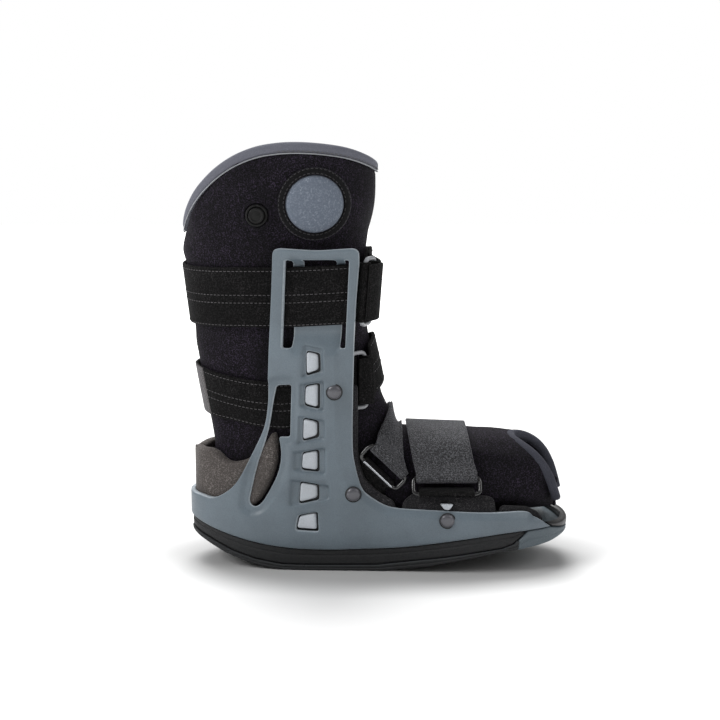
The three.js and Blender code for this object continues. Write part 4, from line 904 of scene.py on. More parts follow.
# the bootie's forms: oval sections up the leg and along the foot, as in the part's source
legPower, footPower = 2.3, 2.4
calfBackX, calfDepth, cuffPeak = size["calfBackX"], size["calfDepth"], size["cuffPeak"]
legBack = curveThrough([[0.06, 0.2], [0.1, 0.135], [0.19, 0.115], [0.27, 0.15], [0.34, 0.13], [0.49, 0.072],
                        [0.524, 0.062], [0.58, 0.05], [0.663, 0.034], [0.725, 0.014], [0.753, -0.009],
                        [0.79, 0.002], [0.9, 0.002], [1.02, 0.004]])
legFront = curveThrough([[0.06, 0.62], [0.19, 0.85], [0.27, 1.07], [0.34, 1.14], [0.4, 1.085], [0.45, 1.055],
                         [0.5, 1.032], [0.55, 1.005], [0.592, 0.992], [0.76, 0.989], [0.83, 1.02], [0.92, 1.045],
                         [0.96, 1.048], [1.02, 1.048]])
footCrown = curveThrough([[0.2, 0.9], [0.4, 1.02], [0.5, 1.02], [0.6, 1.0], [0.72, 0.99], [0.8, 0.97], [0.86, 0.95],
                          [0.9, 0.93], [0.95, 0.88], [1, 0.8]])
cuffLine = curveThrough([[-0.06, 0.69], [0, 0.77], [0.04, 0.82], [0.1, 0.868], [0.175, 0.906], [0.29, 0.945],
                         [0.42, 0.97], [0.53, 0.979], [0.64, 0.981], [0.78, 0.977], [0.88, 0.97], [0.96, 0.959],
                         [1.02, 0.946], [1.12, 0.91]])
mouthRows = [[0.76, 0.44], [0.8, 0.4], [0.848, 0.378], [0.885, 0.354], [0.912, 0.324], [0.934, 0.282], [0.95, 0.228],
             [0.961, 0.172], [0.966, 0.13], [0.968, 0.05]]
mouthLine = curveThrough([[t, s] for s, t in reversed(mouthRows)])
mouthLag, mouthPivotY = 0.12, -25
floorStack = size["shellWall"] + gap + size["linerWall"] + gap
cuffLean = 0.075
cuffHeight = lambda x, y: cuffLine((x - calfBackX) / calfDepth) * cuffPeak - cuffLean * y
mouthShare = lambda y, z: mouthLine(z / uprightHeight) + mouthLag * (y - mouthPivotY) / soleLength


def legSection(z):
    # Middle, half depth and half width of the leg's oval at a height
    t, upright = z / cuffPeak, z / uprightHeight
    back, front = calfBackX + legBack(t) * calfDepth, calfBackX + legFront(t) * calfDepth
    half = lerp(shellHalf(0.28, upright) - bootieDepth, size["cuffWidth"] / 2, smooth(upright, 1.0, 1.12))
    return (back + front) / 2, (front - back) / 2, half


def footSection(s):
    # Half width, middle height and half height of the foot's oval at a share of the length
    bottom = sz(lowerLine(np.minimum(s, 0.945))) + floorStack
    top = footCrown(s) * size["instepHeight"]
    return np.maximum(endWidth, soleHalf(s) - bootieDepth), (bottom + top) / 2, (top - bottom) / 2


def ovalPoint(power, angle):
    # Point of a superellipse of half sizes 1 and 1
    c, s = np.cos(angle), np.sin(angle)
    return np.sign(c) * np.abs(c) ** (2 / power), np.sign(s) * np.abs(s) ** (2 / power)


def legPoint(angle, z, out=0.0):
    # Angle 0 is the front, 90 degrees the far side, 180 the back
    middle, depth, half = legSection(z)
    u, v = ovalPoint(legPower, angle)
    return np.stack(np.broadcast_arrays(middle + u * (depth + out), v * (half + out), z), -1)


def footPoint(angle, s, out=0.0):
    # Angle 90 degrees is the top, 180 the near side
    half, middle, rise = footSection(s)
    u, v = ovalPoint(footPower, angle)
    return np.stack(np.broadcast_arrays(sx(s), u * (half + out), middle + v * (rise + out)), -1)


def guardHalf(x, z):
    # How far out the shell lets the bootie go at each place; it ends above the shell
    t = z / uprightHeight
    inset = bootieDepth * (1 - 1.6 * smooth(t, 0.45, 0.53)) + soleTuck(t)
    s = np.clip((x - size["heelX"] - inset) / (soleLength - 2 * inset), 0, 1)
    return np.maximum(1, shellHalf(s, t) - inset) + 200 * (t > 1.0)


legSpan = (24, 327)
footMiddle, footReach = 0.59, 0.405


def withinForm(p):
    # True inside the leg or the foot, between the shell's sides and above the floor
    x, y, z = p[..., 0], p[..., 1], p[..., 2]
    middle, depth, half = legSection(z)
    leg = np.abs((x - middle) / depth) ** legPower + np.abs(y / half) ** legPower < 1
    leg &= (z > legSpan[0]) & (z < legSpan[1])
    s = np.clip(toShare(x), 0.19, 0.995)
    half, middle, rise = footSection(s)
    foot = np.abs(y / half) ** footPower + np.abs((z - middle) / rise) ** footPower < 1
    foot &= np.abs(toShare(x) - footMiddle) < footReach
    return (leg | foot) & (np.abs(y) < guardHalf(x, z)) & (z > sz(lowerLine(np.clip(s, 0, 0.945))) + floorStack)


def skinFrom(origin, direction):
    # Distance along rays from inside the bootie to its outside
    d = np.arange(0, 170, 0.5)
    along = origin[:, None] + d[None, :, None] * direction[:, None]
    first = np.argmin(withinForm(along), axis=1)
    low, high = d[first - 1], d[first]
    for _ in range(6):
        mid = (low + high) / 2
        still = withinForm(origin + mid[:, None] * direction)
        low, high = np.where(still, mid, low), np.where(still, high, mid)
    return low


def throughPoints(points, count):
    # Smooth curve through points, by chord length, at even steps of it
    p = np.asarray(points, float)
    chord = np.concatenate([[0], np.cumsum(np.linalg.norm(np.diff(p, axis=0), axis=1))])
    at = np.linspace(0, chord[-1], count)
    return np.stack([curveThrough(np.stack([chord, p[:, k]], -1))(at) for k in range(3)], -1)


def capped(grid):
    # Closed mesh of a grid whose first and last rows each shrink to one point
    n, m = grid.shape[:2]
    points = np.concatenate([grid[1:-1].reshape(-1, 3), grid[0].mean(0)[None], grid[-1].mean(0)[None]])
    j = np.arange(m)
    k = (j + 1) % m
    first, last = (n - 2) * m, (n - 2) * m + 1
    faces = gridFaces(n - 2, m, False, True)
    faces += np.stack([k, j, np.full(m, first)], -1).tolist()
    faces += np.stack([j + (n - 3) * m, k + (n - 3) * m, np.full(m, last)], -1).tolist()
    return points, faceOut(points, faces)


def turnedY(outline, centre, count=48, ripple=None):
    # Outline (radius, height towards the near side) turned round an axis across the boot
    r, h = np.array(outline, float).T
    angle = np.linspace(0, 2 * np.pi, count, endpoint=False)
    height = h[:, None] + (ripple(r[:, None], h[:, None], angle[None]) if ripple else 0 * angle[None])
    grid = np.stack([r[:, None] * np.cos(angle), -height, r[:, None] * np.sin(angle)], -1) + np.asarray(centre, float)
    return capped(grid)


# straps: lines of points side by side, made a band with soft edges
strapT = size["strapThickness"]
lay = strapT / 2 + 2.5 * gap
foldRadius = size["wire"] / 2 + gap + strapT / 2
radians = math.radians


def roundBar(bar, radius, start, stop, count=12):
    # Arc round a ring's bar: angle 0 points along the ring's short way, 90 degrees outwards
    a = np.radians(np.linspace(start, stop, count + 1))[:, None]
    return bar["at"] + radius * (np.cos(a) * bar["along"] + np.sin(a) * bar["out"])


def barsFrom(first, along, out):
    # A ring's two bars, a window and a wire apart
    return [{"at": first, "along": along, "out": out},
            {"at": first + along * (size["ringWindow"] + size["wire"]), "along": along, "out": out}]


upperHeight = curveThrough([[-60, 216.5], [0, 222], [60, 216.5], [90, 213], [180, 211], [270, 213], [300, 215.5]])
upperStrap = {"width": 45, "step": 4.8, "depth": 6.6, "lean": 60.0, "slack": 1.5}


def upperBars(z):
    # The upper ring's bars ahead of the front edge of the upright
    s = float(frontLine(z / uprightHeight))
    first = np.array([sx(s) + upperStrap["step"], -(shellHalf(s, z / uprightHeight) - upperStrap["depth"]), z], float)
    lean = radians(upperStrap["lean"])
    along = np.array([math.cos(lean), math.sin(lean), 0])
    return barsFrom(first, along, np.array([along[1], -along[0], 0]))


def upperEdge(side):
    # Round the front, between frame and panel on each side, and round the calf
    z = lambda a: float(upperHeight(a)) + side * upperStrap["width"] / 2
    bars = upperBars(z(-60))
    leg = lambda a: legPoint(radians(a), z(a), lay)
    frame = lambda s, a, way: np.array([sx(s), way * (shellHalf(s, z(a) / uprightHeight) - strapDepth - strapT / 2),
                                        z(a)])
    front = legPoint(0.0, z(0), lay + upperStrap["slack"])
    fold = roundBar(bars[1], foldRadius, -110, -270)
    rows = [fold[-1], fold[-1] + bars[1]["along"] * size["wire"], [front[0] - 1.2, fold[-1][1] * 0.55, z(-30)], front,
            [front[0] - 2.5, 36, z(40)], frame(0.432, 60, 0.995), frame(0.41, 66, 0.995), frame(0.37, 74, 1),
            frame(0.33, 80, 1), frame(0.28, 90, 1), frame(0.238, 100, 0.98)]
    rows += [leg(a) for a in (104, 125, 145, 163, 180, 197, 215, 235, 256)]
    rows += [frame(0.238, 260, -0.98), frame(0.28, 270, -1), frame(0.33, 280, -1), frame(0.37, 287, -1),
             frame(0.41, 294, -0.995), frame(0.432, 300, -0.995)]
    return np.concatenate([fold[:-1], throughPoints(rows, 220), roundBar(bars[0], foldRadius, -80, 250, 26)])


lowerHeight = curveThrough([[-60, 143], [-30, 150], [0, 160], [40, 146], [70, 131], [110, 130], [180, 138],
                            [250, 130], [285, 131], [318, 146]])
lowerStrap = {"width": 37, "axisX": -72, "angle": -37.0, "out": 5.6, "slack": 1.2}


def lowerPoint(a, z, out):
    # Point outside the bootie at an angle round the lower strap's axis
    a, z = np.broadcast_arrays(np.atleast_1d(np.asarray(a, float)), np.asarray(z, float))
    origin = np.stack([np.full(a.shape, float(lowerStrap["axisX"])), 0 * a, z], -1)
    direction = np.stack([np.cos(np.radians(a)), np.sin(np.radians(a)), 0 * a], -1)
    return origin + direction * (skinFrom(origin, direction) + out)[:, None]


def lowerLineOf(side):
    # Inside the uprights all round, rising to its ring at the front
    z = lambda a: lowerHeight(a) + side * lowerStrap["width"] / 2
    first = lowerPoint(lowerStrap["angle"], z(-40), lowerStrap["out"])[0]
    sweepAngles = np.arange(lowerStrap["angle"], lowerStrap["angle"] + 25, 0.25)
    ahead = lowerPoint(sweepAngles, z(-40), lowerStrap["out"])
    k = int(np.argmax(np.linalg.norm(ahead - first, axis=1) >= size["ringWindow"] + size["wire"]))
    along = unit(ahead[k] - first)
    bars = barsFrom(first, along, np.array([along[1], -along[0], 0]))
    fold = roundBar(bars[1], foldRadius, -110, -270)
    fold = np.concatenate([fold, fold[-1:] + along * size["wire"]])
    a = np.linspace(sweepAngles[k] + 9, 312, 190)
    ring = lowerPoint(a, z(a), 0)
    outwards = unit(ring - np.stack([np.full(a.shape, float(lowerStrap["axisX"])), 0 * a, z(a)], -1))
    ring = ring + outwards * (lay + lowerStrap["slack"] * (1 - smooth(a, 0, 40)))[:, None]
    return bars, np.concatenate([fold, ring, roundBar(bars[0], foldRadius, -90, 250, 26)])


def evened(line, reach):
    # Running mean over a few neighbours each way, the ends kept
    padded = np.concatenate([np.repeat(line[:1], reach, 0), line, np.repeat(line[-1:], reach, 0)])
    total = np.cumsum(np.concatenate([np.zeros((1, 3)), padded]), 0)
    mean = (total[2 * reach + 1:] - total[:-2 * reach - 1]) / (2 * reach + 1)
    mean[0], mean[-1] = line[0], line[-1]
    return mean


def footStrapLine(sizes, side):
    # Rays fan out from an axis inside the foot; the band doubles back from its ring
    across, pull = unit(np.array(sizes["across"], float)), unit(np.array(sizes["pull"], float))
    origin = np.array(sizes["axis"], float) + across * side * sizes["width"] / 2
    up = unit(np.array(sizes["up"], float) + np.array([1.0, 0, 0]) * sizes["splay"] * side)

    def point(a, out, start=origin, upward=up):
        a = np.radians(np.atleast_1d(np.asarray(a, float)))[:, None]
        direction = upward * np.sin(a) + np.array([0, -1.0, 0]) * np.cos(a)
        start = np.broadcast_to(start, direction.shape)
        return start + direction * (skinFrom(start, direction) + out)[:, None]

    def edge(other):
        start = np.array(sizes["axis"], float) + across * other * sizes["width"] / 2
        upward = unit(np.array(sizes["up"], float) + np.array([1.0, 0, 0]) * sizes["splay"] * other)
        return point(sizes["near"], sizes["ringOut"], start, upward)[0, 1]

    lean = radians(sizes["lean"])
    along = pull * math.cos(lean) + np.array([0, math.sin(lean), 0])
    out = unit(np.cross(along, across))
    out = out if out[1] < 0 else -out
    second = point(sizes["near"], sizes["ringOut"])[0]
    second[1] = min(edge(-1), edge(1))
    first = second - along * (size["ringWindow"] + size["wire"])
    bars = barsFrom(first, along, out)
    over = point(np.linspace(sizes["back"], sizes["near"] + 16, 22), lay + strapT + 2 * gap)
    fold = roundBar(bars[1], foldRadius, 85, 275)
    fold = np.concatenate([fold[:1] + along * size["wire"], fold, fold[-1:] + along * size["wire"]])
    under = point(np.linspace(sizes["near"] + 18, sizes["far"], 110), lay + sizes["slack"])
    return bars, np.concatenate([evened(over, 3), fold, evened(under, 9)])


toeStrap = {"axis": (sx(0.672), 0, sz(0.29)), "across": (1, 0, 0), "up": (-0.2, 0, 1), "splay": 0,
            "pull": (0, 0, 1), "width": 46, "near": 2, "far": 208, "slack": 0,
            "ringOut": foldRadius + lay + 2, "lean": 28.0, "back": 92}
instepStrap = {"axis": (sx(0.523), 0, sz(0.34)), "across": (0.72, 0, -0.69), "up": (0.22, 0, 0.95), "splay": -0.28,
               "pull": (0.69, 0, 0.72), "width": 34, "near": 2, "far": 196, "slack": 0.8,
               "ringOut": foldRadius + lay + 0.5, "lean": 4.0, "back": 84}


def acrossLines(lines, w):
    # Points at share w (-1 to 1) between the side lines: straight for two lines, a parabola for three
    if len(lines) == 2:
        return lines[0] * (1 - w) / 2 + lines[1] * (1 + w) / 2
    return lines[0] * w * (w - 1) / 2 + lines[1] * (1 - w * w) + lines[2] * w * (w + 1) / 2


def bandOf(lines, thickness):
    # A band through the lines: its section is flat with rounded edges; gives points, faces, uv and the edge mark
    width = np.linalg.norm(lines[-1] - lines[0], axis=1).mean()
    near = np.array([1, 0.985, 0.95, 0.88])
    w = np.concatenate([-near, np.linspace(-0.7, 0.7, 9), near[::-1]])
    h = np.sqrt(np.clip(1 - ((np.abs(w) - (1 - thickness / width)) / (thickness / width)).clip(0, 1) ** 2, 0, 1))
    w, h = np.concatenate([w, w[::-1][1:-1]]), np.concatenate([h, -h[::-1][1:-1]]) * thickness / 2
    body = np.stack([acrossLines(lines, k) for k in w], 1)
    along = unit(np.gradient(body, axis=0))
    normal = unit(np.cross(along, (lines[-1] - lines[0])[:, None]))
    points = (body + normal * h[None, :, None]).reshape(-1, 3)
    n, m = body.shape[:2]
    length = np.concatenate([[0], np.cumsum(np.linalg.norm(np.diff(body.mean(1), axis=0), axis=1))])
    uv = np.stack(np.broadcast_arrays(length[:, None], w[None] * width / 2), -1).reshape(-1, 2)
    edge = np.broadcast_to((1 - np.abs(w))[None] * width / 2, (n, m)).ravel()
    return points, tubeFaces(points, n, m), uv, {"edge": edge}


def stitchRow(path, out, pitch=3.2, length=2.0, radius=0.22):
    # Short raised dashes along a path: each is four small rings whose ends dip into the cloth
    travel = np.concatenate([[0], np.cumsum(np.linalg.norm(np.diff(path, axis=0), axis=1))])
    count = max(1, int(travel[-1] / pitch))
    at = (np.arange(count) + 0.5) * pitch
    spots = at[:, None] + np.array([-0.5, -0.3, 0.3, 0.5]) * length
    take = lambda line: np.stack([np.interp(spots, travel, line[:, k]) for k in range(3)], -1)
    centre, normal = take(path), unit(take(out))
    along = unit(centre[:, -1:] - centre[:, :1])
    side = unit(np.cross(along, normal))
    height = np.array([-0.7, 0.55, 0.55, -0.7]) * radius
    angle = np.linspace(0, 2 * np.pi, 6, endpoint=False)
    ring = (side[:, :, None] * np.cos(angle)[:, None] + normal[:, :, None] * np.sin(angle)[:, None]) * radius
    points = (centre + normal * height[None, :, None])[:, :, None] + ring
    one = tubeFaces(points[0].reshape(-1, 3), 4, 6)
    faces = [[v + 24 * k for v in f] for k in range(count) for f in one]
    return points.reshape(-1, 3), faces


def ringOf(low, high, radius, corner, count=14):
    # Rectangular wire ring round the bars' four corners
    past = radius + 2 * gap
    length = unit(high[0]["at"] - low[0]["at"])
    corners = np.array([low[0]["at"] - length * past, low[1]["at"] - length * past, high[1]["at"] + length * past,
                        high[0]["at"] + length * past])
    before, after = unit(np.roll(corners, 1, 0) - corners) * corner, unit(np.roll(corners, -1, 0) - corners) * corner
    t = np.linspace(0, 1, 8)[None, :, None]
    line = (1 - t) ** 2 * (corners + before)[:, None] + 2 * t * (1 - t) * corners[:, None]
    line += t ** 2 * (corners + after)[:, None]
    line = spaced(line.reshape(-1, 3), 1.2, True)
    return sweep(line, np.broadcast_to(low[0]["out"], line.shape), ovalProfile(radius, radius, count, 0, 2.4), True)


strapRows = {}
upperLines = [upperEdge(-1), upperEdge(1)]
barZ = lambda side: float(upperHeight(-60)) + side * upperStrap["width"] / 2
strapRows["upper"] = (upperLines, upperBars(barZ(-1)), upperBars(barZ(1)))
made = [lowerLineOf(side) for side in (-1, 0, 1)]
strapRows["lower"] = ([line for _, line in made], made[0][0], made[2][0])
for key, sizes in (("instep", instepStrap), ("toe", toeStrap)):
    made = [footStrapLine(sizes, side) for side in (-1, 0, 1)]
    strapRows[key] = ([line for _, line in made], made[0][0], made[2][0])

legStrap = ("loopStrap", "loop_strap", "paleRing", "pale_ring")
footStrap = ("webbing", "webbing", "blackPlastic", "black_ring")
strapLook = {"upper": legStrap, "lower": legStrap, "instep": footStrap, "toe": footStrap}
strapMeshes = {}
for key, (lines, low, high) in strapRows.items():
    look, slotName, ringLook, ringSlot = strapLook[key]
    points, faces, uv, marks = bandOf(lines, strapT)
    strapMeshes[key] = points
    makePiece(key + "_strap_band", points, faces, looks[look], slotName, [key + "_strap"], uv=uv, marks=marks)
    points, faces = ringOf(low, high, size["wire"] / 2, 4.0)
    makePiece(key + "_wire_ring", points, faces, looks[ringLook], ringSlot, [key + "_ring"])
print("straps:", ", ".join(strapRows))

# stitched rows: pale dashes along the loop straps, darker ones along the webbing
stitchRows = {"upper": ([0.87, 0.08, -0.18, -0.93], "thread"), "lower": ([0.86, 0.1, -0.2, -0.88], "thread"),
              "instep": ([0.88, -0.88], "darkThread"), "toe": ([0.9, -0.9], "darkThread")}
for key, (shares, look) in stitchRows.items():
    lines = strapRows[key][0]
    parts = []
    for share in shares:
        path = acrossLines(lines, share)
        out = np.cross(np.gradient(path, axis=0), lines[-1] - lines[0])
        away = path - np.array([path[:, 0].mean(), 0, path[:, 2].mean()])
        out = unit(out) * np.sign((unit(out) * away).sum(1).mean())
        parts.append(stitchRow(path[14:-14] + out[14:-14] * strapT / 2, out[14:-14]))
    points, faces = joined(parts)
    makePiece(key + "_strap_stitches", points, faces, looks[look], strapLook[key][1])

# anchors: short fuzzy tabs from each foot ring's lower bar down behind the shell's edge
for key, drop in (("instep", 24), ("toe", 16)):
    _, low, high = strapRows[key]
    way = unit(high[0]["at"] - low[0]["at"]) * 2
    rows = []
    for bar, move in ((low[0], way), (high[0], -way)):
        bar = dict(bar, at=bar["at"] + move)
        radius = size["wire"] / 2 + gap + 0.8
        hook = roundBar(bar, radius, 130, 10, 8)
        k = np.linspace(-radius, drop, 12)[:, None]
        lane = bar["at"] - bar["along"] * k
        wall = shellHalf(toShare(lane[:, 0]),
                         lane[:, 2] / uprightHeight) - (linerDepth + size["linerWall"] + 4 * gap) - 0.8
        lane[:, 1] = np.maximum(-wall, bar["at"][1] + radius + gap)
        rows.append(np.concatenate([hook, lane]))
    points, faces, uv, marks = bandOf(rows, 1.6)
    makePiece(key + "_anchor_tab", points, faces, looks["loopStrap"], "webbing", [key + "_anchor"], uv=uv,
              marks=marks)

# fuzzy strap ends laid back over the two leg rings
flapLook = {"upper": (-3.0, 1.5, 1.6), "lower": (2.6, 3.0, 1.0)}
for key, (before, after, bow) in flapLook.items():
    _, low, high = strapRows[key]
    rows = []
    for bars, trim in ((low, 1), (high, -1)):
        u = np.linspace(0, 1, 24)[:, None]
        start, end = bars[0]["at"] + bars[0]["along"] * before, bars[1]["at"] + bars[1]["along"] * after
        lane = lerp(start, end, u) + bars[0]["out"] * (foldRadius + strapT + gap * 2 + bow * np.sin(np.pi * u))
        rows.append(lane + unit(high[0]["at"] - low[0]["at"]) * 1.2 * trim)
    points, faces, uv, marks = bandOf(rows, strapT)
    makePiece(key + "_strap_flap", points, faces, looks["loopStrap"], "loop_strap", uv=uv, marks=marks)

# bright bar along the instep ring, and the bare woven label round the rear of the lower strap
barLook = {"start": 0.06, "end": 0.94, "lift": 2.2, "half": 1.5, "high": 1.1}
_, (low, _), (high, _) = strapRows["instep"]
line = np.linspace(*(lerp(low["at"], high["at"], barLook[end]) for end in ("start", "end")), 30)
line += low["out"] * (size["wire"] / 2 + gap + barLook["lift"])
section = ovalProfile(barLook["half"], barLook["high"], 14)
points, faces = sweep(line, np.broadcast_to(low["out"], line.shape), section, False)
makePiece("instep_bright_bar", points, faces, looks["chrome"], "black_ring")
labelLook = {"front": -127.5, "lift": 0.8, "thickness": 1.0}
rows = strapRows["lower"][0]
span = np.nonzero((rows[1][:, 0] < labelLook["front"]) & (rows[1][:, 1] < 0))[0]
rows = [line[span[0]:span[-1] + 1] for line in rows]
away = unit(rows[1] - np.array([lowerStrap["axisX"], 0, 0])) * [1, 1, 0]
points, faces, uv, marks = bandOf([line + away * (strapT / 2 + labelLook["lift"]) for line in rows],
                                  labelLook["thickness"])
makePiece("lower_strap_label", points, faces, looks["label"], "loop_strap", uv=uv, marks=marks)
print("stitches, anchors, flaps and label done")

# bootie: leg and foot forms fused, swelled as a stuffed cover, opened at the cuff and the toe
bootieLook = {
    "legRun": (26, 324, 90), "footRun": (0.2, 0.99, 80), "shrink": 0.4, "voxel": 3.6, "softness": 6,
    "pressure": 4.0, "frames": 20, "swell": 4.0, "wall": 5.4,
    "strapClear": (5, 16), "soleTop": (50, 62),
    "beltFrom": (60, 90), "beltTo": (246, 256), "beltAt": 0.33, "beltHalf": 34,
    "foldDepth": 1.1, "foldBehind": (-45, -12), "foldFrom": (84, 100), "foldTo": (150, 215),
    "upperFolds": 0.6, "upperFrom": (120, 150),
}


def fusedForm():
    # Two closed lofts remeshed into one skin; makeBootie then holds it between the shell's sides and above the floor
    angle = np.linspace(0, 2 * np.pi, 72, endpoint=False)
    leg = legPoint(angle[None], np.linspace(*bootieLook["legRun"])[:, None], -bootieLook["shrink"])
    foot = footPoint(angle[None], np.linspace(*bootieLook["footRun"])[:, None], -bootieLook["shrink"])
    parts = []
    for grid in (leg, foot):
        flat = grid.reshape(-1, 3)
        parts.append((flat, tubeFaces(flat, *grid.shape[:2])))
    points, faces = joined(parts)
    mesh = bpy.data.meshes.new("fused")
    mesh.from_pydata((points / 1000).tolist(), [], faces)
    obj = bpy.data.objects.new("fused", mesh)
    bpy.context.scene.collection.objects.link(obj)
    modifier = obj.modifiers.new("remesh", "REMESH")
    modifier.mode, modifier.voxel_size = "VOXEL", bootieLook["voxel"] / 1000
    modifier.use_smooth_shade = True
    return obj


def readMesh(obj):
    # Points in millimetres and faces of an object as it stands, with its modifiers
    made = bpy.data.meshes.new_from_object(obj.evaluated_get(bpy.context.evaluated_depsgraph_get()))
    points = np.zeros(len(made.vertices) * 3)
    made.vertices.foreach_get("co", points)
    corners = np.zeros(len(made.loops), np.int64)
    made.loops.foreach_get("vertex_index", corners)
    starts = np.zeros(len(made.polygons), np.int64)
    made.polygons.foreach_get("loop_start", starts)
    faces = [f.tolist() for f in np.split(corners, starts[1:])]
    edges = np.zeros(len(made.edges) * 2, np.int64)
    made.edges.foreach_get("vertices", edges)
    bpy.data.meshes.remove(made)
    return points.reshape(-1, 3) * 1000, faces, edges.reshape(-1, 2)


def dropObject(obj):
    # A helper object and its mesh are taken out again
    mesh = obj.data
    bpy.data.objects.remove(obj)
    bpy.data.meshes.remove(mesh)


def softened(points, edges, times, share=0.5):
    # Each point moves towards the mean of its neighbours, several times
    count = np.bincount(edges.ravel(), minlength=len(points))[:, None]
    for _ in range(times):
        total = np.zeros_like(points)
        np.add.at(total, edges[:, 0], points[edges[:, 1]])
        np.add.at(total, edges[:, 1], points[edges[:, 0]])
        points = points + (total / np.maximum(count, 1) - points) * share
    return points


def heldIn(points):
    # Sides no wider than the shell allows, and nothing under the floor of the liner
    x, y, z = points.T
    room = guardHalf(x, z)
    floorZ = sz(lowerLine(np.clip(toShare(x), 0, 0.945))) + floorStack
    return np.stack([x, np.clip(y, -room, room), np.maximum(z, floorZ)], -1)


def nearStraps(points):
    # Distance from each point to the nearest strap
    marks = np.concatenate([mesh[::9] for mesh in strapMeshes.values()])
    best = np.full(len(points), 1e9)
    for i in range(0, len(points), 2000):
        gaps = np.linalg.norm(points[i:i + 2000, None] - marks[None], axis=-1)
        best[i:i + 2000] = gaps.min(1)
    return best


mouthAngle = np.linspace(1.19, -0.19, 130) * np.pi
mouthS = np.full(130, 0.93)
for _ in range(60):
    mouthP = footPoint(mouthAngle, mouthS, -3.0)
    mouthS = lerp(mouthS, mouthShare(mouthP[:, 1], mouthP[:, 2]), 0.25)


def mouthByAngle(points):
    # Share of the length where the toe mouth's rim lies, by the point's angle round the foot
    half, middle, rise = footSection(np.clip(toShare(points[:, 0]), 0.6, 0.97))
    angle = np.arctan2((points[:, 2] - middle) / rise, points[:, 1] / half)
    angle = np.where(angle < -np.pi / 2, angle + 2 * np.pi, angle)
    return np.interp(angle, mouthAngle[::-1], mouthS[::-1])


def swelled(points, faces, edges, free):
    # Cloth under pressure, pinned where it isn't free; no point moves further than the swell
    mesh = bpy.data.meshes.new("swelling")
    mesh.from_pydata((points / 1000).tolist(), [], faces)
    obj = bpy.data.objects.new("swelling", mesh)
    bpy.context.scene.collection.objects.link(obj)
    pins = obj.vertex_groups.new(name="pins")
    for level in range(5):
        chosen = np.nonzero(np.round((1 - free) * 4).astype(int) == level)[0]
        pins.add(chosen.tolist(), level / 4, "REPLACE")
    cloth = obj.modifiers.new("cloth", "CLOTH")
    cloth.settings.use_pressure = True
    cloth.settings.uniform_pressure_force = bootieLook["pressure"]
    cloth.settings.vertex_group_mass = "pins"
    cloth.settings.effector_weights.gravity = 0
    for frameNumber in range(1, bootieLook["frames"] + 1):
        bpy.context.scene.frame_set(frameNumber)
    moved = readMesh(obj)[0] - points
    bpy.context.scene.frame_set(1)
    dropObject(obj)
    reach = np.linalg.norm(moved, axis=1)
    limit = bootieLook["swell"] * free
    moved *= (np.minimum(reach, limit) / np.maximum(reach, 1e-6))[:, None]
    print("bootie swelled by up to %.1f mm" % np.linalg.norm(moved, axis=1).max())
    return softened(points + moved, edges, 1, 0.4)


def opened(points, faces):
    # Faces past the cuff and the toe mouth go, and the rims are drawn onto their lines
    rimAt = mouthByAngle(points)
    keep = (points[:, 2] < cuffHeight(points[:, 0], points[:, 1]) + 1.5) & (toShare(points[:, 0]) < rimAt + 0.004)
    keep |= (points[:, 0] > -60) & (points[:, 2] < 160) & (toShare(points[:, 0]) < 0.7)
    faces = [f for f in faces if keep[f].all()]
    used, flatIndex = np.unique(np.concatenate([np.array(f) for f in faces]), return_inverse=True)
    sizes = np.cumsum([len(f) for f in faces])[:-1]
    faces = [f.tolist() for f in np.split(flatIndex.ravel(), sizes)]
    points = points[used]
    pairs = np.concatenate([np.stack([np.array(f), np.roll(f, -1)], -1) for f in faces])
    _, first, count = np.unique(np.sort(pairs, 1), axis=0, return_index=True, return_counts=True)
    rim = np.unique(pairs[first[count == 1]])
    top = rim[points[rim, 2] > 180]
    points[top, 2] = cuffHeight(points[top, 0], points[top, 1]) + 1.2
    toe = rim[points[rim, 2] <= 180]
    points[toe, 0] = sx(mouthByAngle(points[toe])) + 1.4
    return points, faces


def makeBootie():
    # The fused form, softened, swelled and creased: folds are sine waves bent by slower ones, round the ankle and
    # more gently up the leg
    obj = fusedForm()
    points, faces, edges = readMesh(obj)
    dropObject(obj)
    points = heldIn(softened(points, edges, bootieLook["softness"]))
    under = smooth(nearStraps(points), *bootieLook["strapClear"])
    x, y, z = points.T
    # what the shell, the belt and the straps press on stays put; the rest is free to swell
    inShell = smooth(z, *bootieLook["beltFrom"]) * (1 - smooth(z, *bootieLook["beltTo"]))
    inShell = inShell * (np.abs(x - sx(bootieLook["beltAt"])) < bootieLook["beltHalf"])
    inShell = inShell + (1 - smooth(z, *bootieLook["soleTop"]))
    free = under * (1 - np.clip(inShell, 0, 1))
    points = swelled(points, faces, edges, free)
    folds = np.sin(z * 0.23 + 2.2 * np.sin(x * 0.05) + y * 0.03)
    folds *= smooth(x, *bootieLook["foldBehind"])
    folds *= (1 - smooth(z, *bootieLook["foldTo"])) * smooth(z, *bootieLook["foldFrom"])
    upper = np.sin(z * 0.12 + x * 0.09 + 0.7 * np.sin(y * 0.11)) * smooth(z, *bootieLook["upperFrom"])
    folds += bootieLook["upperFolds"] * upper
    middle = np.where((z > 110), legSection(z)[0], x)
    away = unit(np.stack([x - middle, y, np.where(z > 110, 0, z - 50)], -1))
    points = heldIn(points + away * (folds * free * bootieLook["foldDepth"])[:, None])
    return opened(points, faces)


points, faces = makeBootie()
bootie = makePiece("padded_bootie", points, faces, looks["bootie"], "bootie", ["bootie"])
wall = bootie.modifiers.new("wall", "SOLIDIFY")
wall.thickness, wall.offset = bootieLook["wall"] / 1000, -1
fine = bootie.modifiers.new("fine", "SUBSURF")
fine.levels = fine.render_levels = 1
print("bootie:", len(faces), "faces")

